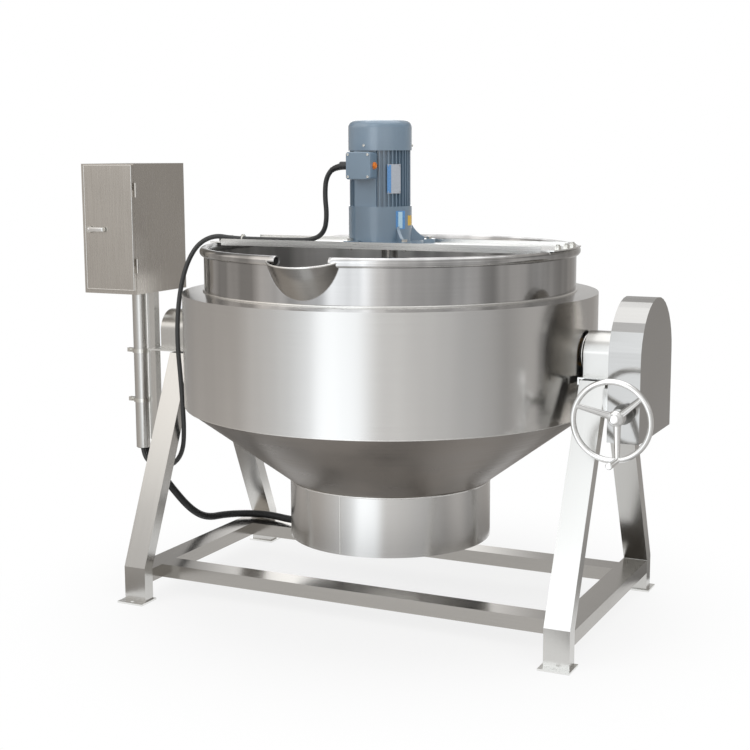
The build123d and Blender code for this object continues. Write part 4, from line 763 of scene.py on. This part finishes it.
class KETTLE_OT_motor_trim(bpy.types.Operator):
    """Bare plates, screws, plug and strain relief of the gear motor"""
    bl_idname = "kettle.motor_trim"
    bl_label = "Motor Trim"

    def execute(self, context):
        cover_low, cover_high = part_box("terminal_cover")
        box_low, box_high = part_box("terminal_box")
        fin_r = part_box("motor_stator")[1][0] - MOTOR_AXIS.x
        inset = 0.0085
        bm = bmesh.new()
        for x in (cover_low[0] + inset, cover_high[0] - inset):
            for z in (cover_low[2] + inset, cover_high[2] - inset):
                screw(bm, (x, cover_low[1] - 0.0001, z), (0, -1, 0), 0.0042, 0.0028)
        show(bm, "terminal_screws", "kettle", "nickel_plate", 35)

        bm = bmesh.new()
        middle = Vector((box_high[0], (box_low[1] + box_high[1]) / 2,
                         (box_low[2] + box_high[2]) / 2))
        hexagon_height = 0.0035
        disc(bm, facing(middle, (1, 0, 0)), 0.0125, hexagon_height, 6, 0.0008)
        screw(bm, middle + Vector((hexagon_height, 0, 0)), (1, 0, 0), 0.0095, 0.0035, 0.6)
        show(bm, "terminal_plug", "kettle", "orange_polymer", 35)

        films(STATOR_FILMS, fin_r)
        bm = bmesh.new()
        for degrees in (-49, -25):
            for z in (1.346, 1.428):
                rivet_foot = facing(*on_motor(fin_r + 0.0012, degrees, z))
                disc(bm, rivet_foot, 0.0018, 0.0008, 12, 0.0004)
        show(bm, "nameplate_rivets", "kettle", "nickel_plate", 50)
        films(HOUSING_FILMS, HOUSING_R)

        bm = bmesh.new()
        for degrees in (-94, 26, 146):
            screw(bm, *on_motor(COWL_R, degrees, 1.492), 0.0045, 0.003)
        show(bm, "cowl_screws", "kettle", "nickel_plate", 35)

        bm = bmesh.new()
        for z in (1.222, 1.284):
            screw(bm, *on_motor(HOUSING_R - 0.0004, 115, z), 0.0095, 0.006, 0.55)
        show(bm, "oil_plugs", "kettle", "darkened_steel", 35)

        points, _ = spline_points(MOTOR_CABLE_ROUTE, TRIM_SPACING)
        gland_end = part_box("cable_gland")[0][0] + 0.004
        start = next(k for k, p in enumerate(points) if p.x < gland_end)
        boot = points[start:start + 14]
        cable_r = context.scene.kettle_cables.motor_diameter / 2
        taper, wall, rib = 0.0024, 0.0004, 0.0006

        def boot_radius(i):
            thinned = cable_r + taper * (1 - i / (len(boot) - 1)) + wall
            return thinned + (rib if i % 3 == 0 else 0)

        show(tube_along(boot, boot_radius, 20), "strain_relief", "kettle", "black_nylon", 50)
        return {"FINISHED"}


class KETTLE_OT_deck_trim(bpy.types.Operator):
    """Cable tie on the bridge, the trim of the pot's rim, and painted shade in its open end"""
    bl_idname = "kettle.deck_trim"
    bl_label = "Deck Trim"

    def execute(self, context):
        # tie round the cable where it lies on the bridge
        tie_x, tie_width, tie_wall = -0.49, 0.0048, 0.0012
        points, _ = spline_points(MOTOR_CABLE_ROUTE, TRIM_SPACING)
        on_bridge = (p for p in points if 1.15 < p.z < 1.25)
        centre = min(on_bridge, key=lambda p: abs(p.x - tie_x))
        cable_r = context.scene.kettle_cables.motor_diameter / 2
        edge = facing(centre, (1, 0, 0)) @ Matrix.Translation((0, 0, -tie_width / 2))
        bm = bmesh.new()
        inner = bmesh.ops.create_circle(bm, segments=24, radius=cable_r + 0.0002, matrix=edge)
        ring_edges = list({e for v in inner["verts"] for e in v.link_edges})
        band = bmesh.ops.extrude_edge_only(bm, edges=ring_edges)
        fresh = [g for g in band["geom"] if isinstance(g, bmesh.types.BMVert)]
        bmesh.ops.translate(bm, verts=fresh, vec=(tie_width, 0, 0))
        bmesh.ops.recalc_face_normals(bm, faces=bm.faces)
        bmesh.ops.solidify(bm, geom=list(bm.faces), thickness=-tie_wall)
        block(bm, centre + Vector((-0.004, 0.001, cable_r + 0.0005)),
              centre + Vector((0.004, 0.009, cable_r + 0.005)), 0.0008)
        show(bm, "cable_ties", "kettle", "white_nylon", 40)

        # cut ends of the rolled rim: the left one is open, the right one closed
        end_r, open_reach, closed_reach, sink = RIM_TUBE_R + 0.0002, 0.0215, 0.0158, 0.005
        centre, out = rim_cut(-1)
        bm = bmesh.new()
        disc(bm, facing(centre, out), end_r, open_reach, 32, 0.0008)
        cap = max(bm.faces, key=lambda f: (f.calc_center_median() - centre).dot(out))
        bmesh.ops.inset_region(bm, faces=[cap], thickness=0.0016)
        bmesh.ops.translate(bm, verts=list(cap.verts), vec=-out * sink)
        disc(bm, facing(*rim_cut(1)), end_r, closed_reach, 32, 0.0008)
        show(bm, "rim_ends", "kettle", "stainless_polished", 35)
        # black disc deep in the open rim end: painted shade that makes its shallow bore look deep
        # and dark
        bm = bmesh.new()
        disc(bm, facing(centre + out * (open_reach - sink), out), RIM_TUBE_R - 0.0035, 0.0003, 32)
        show(bm, "rim_hollow_painted_shade", "kettle", "black_rubber_and_painted_shade", 35)
        return {"FINISHED"}


class KETTLE_OT_frame_trim(bpy.types.Operator):
    """Bush of the cable pipe and screws of the bearing covers"""
    bl_idname = "kettle.frame_trim"
    bl_label = "Frame Trim"

    def execute(self, context):
        # rubber bush that closes the foot of the cable pipe
        low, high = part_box("conduit_pipe")
        foot = Vector(((low[0] + high[0]) / 2, (low[1] + high[1]) / 2, low[2]))
        inside = facing(foot + Vector((0, 0, 0.004)), (0, 0, -1))
        bm = bmesh.new()
        disc(bm, inside, (high[0] - low[0]) / 2 - 0.0025, 0.0062, 36, 0.001)
        show(bm, "pipe_bush", "frame", "black_rubber_and_painted_shade", 40)

        # button-head screws of the bearing covers
        bm = bmesh.new()
        for name in ("left_bearing_cover", "right_bearing_cover"):
            low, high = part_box(name)
            for x in (low[0] + 0.018, high[0] - 0.018):
                screw(bm, (x, high[1] + 0.0001, 0.815), (0, 1, 0), 0.0055, 0.0032)
        show(bm, "cover_screws", "frame", "nickel_plate", 35)
        return {"FINISHED"}


class KETTLE_OT_door_trim(bpy.types.Operator):
    """Rounded fold round the box door, and the pressed grip of its latch"""
    bl_idname = "kettle.door_trim"
    bl_label = "Door Trim"

    def execute(self, context):
        low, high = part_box("box_door")
        fold_r = 0.0018
        inset = fold_r * 0.7
        left, right, front = low[0] + inset, high[0] - inset, low[1] + inset
        foot, top = low[2] + inset, high[2] - inset
        corners = [Vector((left, front, foot)), Vector((right, front, foot)),
                   Vector((right, front, top)), Vector((left, front, top))]
        bm = bmesh.new()
        for a, b in zip(corners, corners[1:] + corners[:1]):
            disc(bm, facing(a, b - a), fold_r, (b - a).length, 12)
        show(bm, "door_fold", "door", "polished_weld", 60)

        low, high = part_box("door_latch")
        grip_low = (low[0] + 0.009, low[1] - 0.0035, 1.2068)
        grip_high = (high[0] - 0.007, low[1] + 0.001, 1.2212)
        pivot = (-1.046, low[1] - 0.0033, 1.214)
        bm = bmesh.new()
        block(bm, grip_low, grip_high, bevel=0.0034, segments=4)
        disc(bm, facing(pivot, (0, -1, 0)), 0.0042, 0.0012, 20, 0.0005)
        show(bm, "latch_grip", "latch", "cast_aluminium", 50)
        return {"FINISHED"}


class KETTLE_OT_wheel_trim(bpy.types.Operator):
    """Domed cap that closes the bore of the handwheel"""
    bl_idname = "kettle.wheel_trim"
    bl_label = "Wheel Trim"

    def execute(self, context):
        place = facing((SHAFT_X, HUB_FRONT + 0.0005, SHAFT_Z), (0, -1, 0))
        dome = place @ Matrix.Translation((0, 0, 0.004))
        bm = bmesh.new()
        disc(bm, place, 0.0185, 0.0045, 36, 0.0015)
        disc(bm, dome, 0.0165, 0.0045, 36, 0.002, top_radius=0.0125)
        show(bm, "wheel_cap", "handwheel", "cast_aluminium", 50)
        return {"FINISHED"}


# ---- stage --------------------------------------------------------------
# Soft boxes and grey flags that stand round the kettle: direction in
# degrees from +X, level of light and warmth (0 neutral, 1 warm, -1 cool).
STUDIO_FLAGS = (
    (-180, 0.42, 1.0), (-146, 0.50, 1.0), (-124, 0.68, 0.3), (-110, 0.84, -0.2),
    (-102, 1.05, -0.4), (-97, 1.5, -0.5), (-80, 1.5, -0.5), (-71, 0.82, 0.2),
    (-50, 0.70, 0.2), (-27, 0.54, 0.1), (-8, 0.38, 0.4), (10, 0.53, 0.5),
    (25, 0.38, 0.3), (46, 0.38, 0.6), (70, 0.38, 0.9), (100, 0.62, 0.2),
    (110, 2.0, 0.0), (126, 2.0, 0.0), (136, 0.50, 0.2), (152, 0.34, 0.6), (172, 0.38, 1.0),
)
WARMTH = 0.06
# Level of the flags at a height in metres, dimmer near the floor: the soft
# box on the left in front goes on above the kettle, the ones behind end there.
LEFT_HEIGHTS = ((0.0, 0.62), (0.02, 0.78), (0.05, 1.08), (0.7, 1.0), (1.5, 1.0), (1.9, 2.1),
                (5.5, 2.1))
FRONT_HEIGHTS = ((0.0, 0.58), (0.02, 0.75), (0.05, 1.08), (0.7, 1.0), (1.42, 1.0), (1.52, 1.6),
                 (1.75, 1.6), (1.95, 1.05), (5.5, 1.1))
REAR_HEIGHTS = ((0.0, 0.62), (0.05, 1.08), (0.7, 1.0), (2.05, 1.0), (2.3, 0.6), (3.0, 0.6),
                (3.8, 1.3), (5.5, 1.3))
# Where the left heights give way to the front ones, and those to the rear
# ones: an axis, and where on it in metres.
HEIGHT_CHANGES = (("X", -1.7, -0.9, FRONT_HEIGHTS), ("Y", -0.3, 0.3, REAR_HEIGHTS))
# Section of the surround, as radius and height in metres.
SURROUND = ((0.95, 0.004), (1.5, 0.05), (2.4, 0.22), (3.0, 0.60), (3.3, 1.2), (3.5, 5.5))
LAMP_TARGET = Vector((0, 0, 0.8))
# The floor glows white for the camera, a little less within these distances
# from the middle so that the shadow stays.
SHADOW_INNER, SHADOW_OUTER, SHADOW_GLOW = 0.55, 1.4, 0.8


def area_lamp(name, eye, size, power):
    """A rectangular soft box that faces the kettle."""
    lamp = bpy.data.lights.new(name, "AREA")
    lamp.shape = "RECTANGLE"
    lamp.size, lamp.size_y = size
    lamp.energy = power
    holder = bpy.data.objects.new(name, lamp)
    holder.location = eye
    holder.rotation_euler = (LAMP_TARGET - Vector(eye)).to_track_quat("-Z", "Y").to_euler()
    bpy.context.scene.collection.objects.link(holder)


def seen_in_mirror(tree):
    """One for camera, glossy and transmission rays, zero for the others."""
    path = add_node(tree, "ShaderNodeLightPath")
    seen = add_node(
        tree, "ShaderNodeMath", {},
        {0: path.outputs["Is Camera Ray"], 1: path.outputs["Is Glossy Ray"]},
        operation="MAXIMUM",
    )
    return add_node(
        tree, "ShaderNodeMath", {}, {0: seen.outputs[0], 1: path.outputs["Is Transmission Ray"]},
        operation="MAXIMUM",
    )


def studio_surround():
    """A ring of soft boxes and flags that only shows in polished metal."""
    tree = new_material("studio_surround")
    place = add_node(tree, "ShaderNodeTexCoord")
    parts = add_node(tree, "ShaderNodeSeparateXYZ", {}, {0: place.outputs["Object"]})
    angle = add_node(
        tree, "ShaderNodeMath", {}, {0: parts.outputs["Y"], 1: parts.outputs["X"]},
        operation="ARCTAN2",
    )
    share = between(tree, angle.outputs[0], 0.0, 1.0, -math.pi, math.pi)
    # both kinds of ramp hold half their level, so that levels above 1 fit
    flags = ramp(tree, share, *(
        ((direction + 180) / 360,
         (level * (1 + WARMTH * tint) / 2, level / 2, level * (1 - WARMTH * tint) / 2, 1.0))
        for direction, level, tint in STUDIO_FLAGS
    ))
    top = FRONT_HEIGHTS[-1][0]
    rise = between(tree, parts.outputs["Z"], 0.0, 1.0, 0.0, top)

    def level_of(heights):
        return ramp(tree, rise, *((z / top, level / 2) for z, level in heights))

    level = level_of(LEFT_HEIGHTS)
    for axis, low, high, heights in HEIGHT_CHANGES:
        change = between(tree, parts.outputs[axis], 0.0, 1.0, low, high)
        level = add_node(
            tree, "ShaderNodeMix", {}, {0: change, 2: level, 3: level_of(heights)}
        ).outputs[0]
    strength = add_node(
        tree, "ShaderNodeMath", {1: 4.0}, {0: level}, operation="MULTIPLY"
    )
    shader = add_node(
        tree, "ShaderNodeEmission", {},
        {"Color": flags, "Strength": strength.outputs[0]},
    )
    finish_surface(tree, shader)
    bm = bmesh.new()
    verts = [bm.verts.new((radius, 0, height)) for radius, height in SURROUND]
    edges = [bm.edges.new(pair) for pair in zip(verts, verts[1:])]
    bmesh.ops.spin(
        bm, geom=[*verts, *edges], cent=(0, 0, 0), axis=(0, 0, 1),
        angle=2 * math.pi, steps=96, use_merge=True,
    )
    piece = show(bm, "studio_surround", None, "studio_surround")
    piece.visible_camera = False
    piece.visible_diffuse = False
    piece.visible_shadow = False


def studio_floor():
    """A matt white floor that keeps a soft shadow near the feet."""
    tree = new_material("studio_floor")
    seen = seen_in_mirror(tree)
    place = add_node(tree, "ShaderNodeTexCoord")
    away = add_node(
        tree, "ShaderNodeVectorMath", {}, {0: place.outputs["Object"]}, operation="LENGTH"
    )
    glow_share = add_node(
        tree, "ShaderNodeMapRange",
        {"From Min": SHADOW_INNER, "From Max": SHADOW_OUTER, "To Min": SHADOW_GLOW, "To Max": 1.0},
        {"Value": away.outputs["Value"]}, interpolation_type="SMOOTHSTEP",
    )
    share = add_node(
        tree, "ShaderNodeMath", {}, {0: seen.outputs[0], 1: glow_share.outputs[0]},
        operation="MULTIPLY",
    )
    paint = add_node(tree, "ShaderNodeBsdfDiffuse", {"Color": linear("#F2F2F2")})
    glow = add_node(tree, "ShaderNodeEmission", {"Color": (1, 1, 1, 1), "Strength": 1.0})
    mix = add_node(
        tree, "ShaderNodeMixShader", {},
        {0: share.outputs[0], 1: paint.outputs[0], 2: glow.outputs[0]},
    )
    finish_surface(tree, mix)
    bm = bmesh.new()
    bmesh.ops.create_grid(bm, x_segments=4, y_segments=4, size=15)
    show(bm, "studio_floor", None, "studio_floor")


class KETTLE_OT_stage(bpy.types.Operator):
    """Floor, soft studio light and camera"""
    bl_idname = "kettle.stage"
    bl_label = "Stage"

    def execute(self, context):
        stage = context.scene.kettle_stage
        world = bpy.data.worlds.new("studio")
        context.scene.world = world
        world.use_nodes = True
        tree = world.node_tree
        tree.nodes.clear()
        seen = seen_in_mirror(tree)
        back = add_node(tree, "ShaderNodeBackground", {"Color": (1, 1, 1, 1)},
                        {"Strength": between(tree, seen.outputs[0], 0.75, 1.0)})
        add_node(tree, "ShaderNodeOutputWorld", links={"Surface": back.outputs[0]})
        studio_floor()
        studio_surround()
        area_lamp("key", (-3.0, -4.5, 4.5), (4, 3), stage.key_power)
        area_lamp("fill", (4.5, -3.0, 3.0), (3, 3), stage.fill_power)
        area_lamp("top", (0, 0.5, 5.0), (4, 4), stage.fill_power)

        camera = bpy.data.cameras.new("camera")
        camera.lens = stage.lens
        camera.sensor_width = 36
        camera.clip_end = 100
        eye = bpy.data.objects.new("camera", camera)
        turn = (Matrix.Rotation(stage.yaw, 4, "Z")
                @ Matrix.Rotation(math.pi / 2 - stage.pitch, 4, "X")
                @ Matrix.Rotation(stage.roll, 4, "Z"))
        eye.matrix_world = Matrix.Translation(stage.eye) @ turn
        context.scene.collection.objects.link(eye)
        context.scene.camera = eye
        context.scene.view_settings.view_transform = "Standard"
        return {"FINISHED"}


class KETTLE_PT_panel(bpy.types.Panel):
    """Steam jacketed kettle"""
    bl_idname = "KETTLE_PT_panel"
    bl_label = "Steam Jacketed Kettle"
    bl_space_type = "VIEW_3D"
    bl_region_type = "UI"
    bl_category = "Kettle"

    def draw(self, context):
        for settings in (context.scene.kettle_colours, context.scene.kettle_cables,
                         context.scene.kettle_stage):
            for name in settings.__annotations__:
                self.layout.prop(settings, name)
        for operator in OPERATORS:
            self.layout.operator(operator.bl_idname)


SETTINGS = {
    "kettle_colours": KettleColours, "kettle_cables": KettleCables, "kettle_stage": KettleStage,
}
OPERATORS = (
    KETTLE_OT_finishes, KETTLE_OT_cables, KETTLE_OT_welds, KETTLE_OT_motor_trim,
    KETTLE_OT_deck_trim, KETTLE_OT_frame_trim, KETTLE_OT_door_trim, KETTLE_OT_wheel_trim,
    KETTLE_OT_stage,
)
CLASSES = (*SETTINGS.values(), *OPERATORS, KETTLE_PT_panel)


def register():
    for item in CLASSES:
        bpy.utils.register_class(item)
    for name, group in SETTINGS.items():
        setattr(bpy.types.Scene, name, PointerProperty(type=group))


def unregister():
    for name in SETTINGS:
        delattr(bpy.types.Scene, name)
    for item in reversed(CLASSES):
        bpy.utils.unregister_class(item)


def main():
    register()
    for operator in OPERATORS:
        group, name = operator.bl_idname.split(".")
        getattr(getattr(bpy.ops, group), name)()


if __name__ == "__main__":
    main()
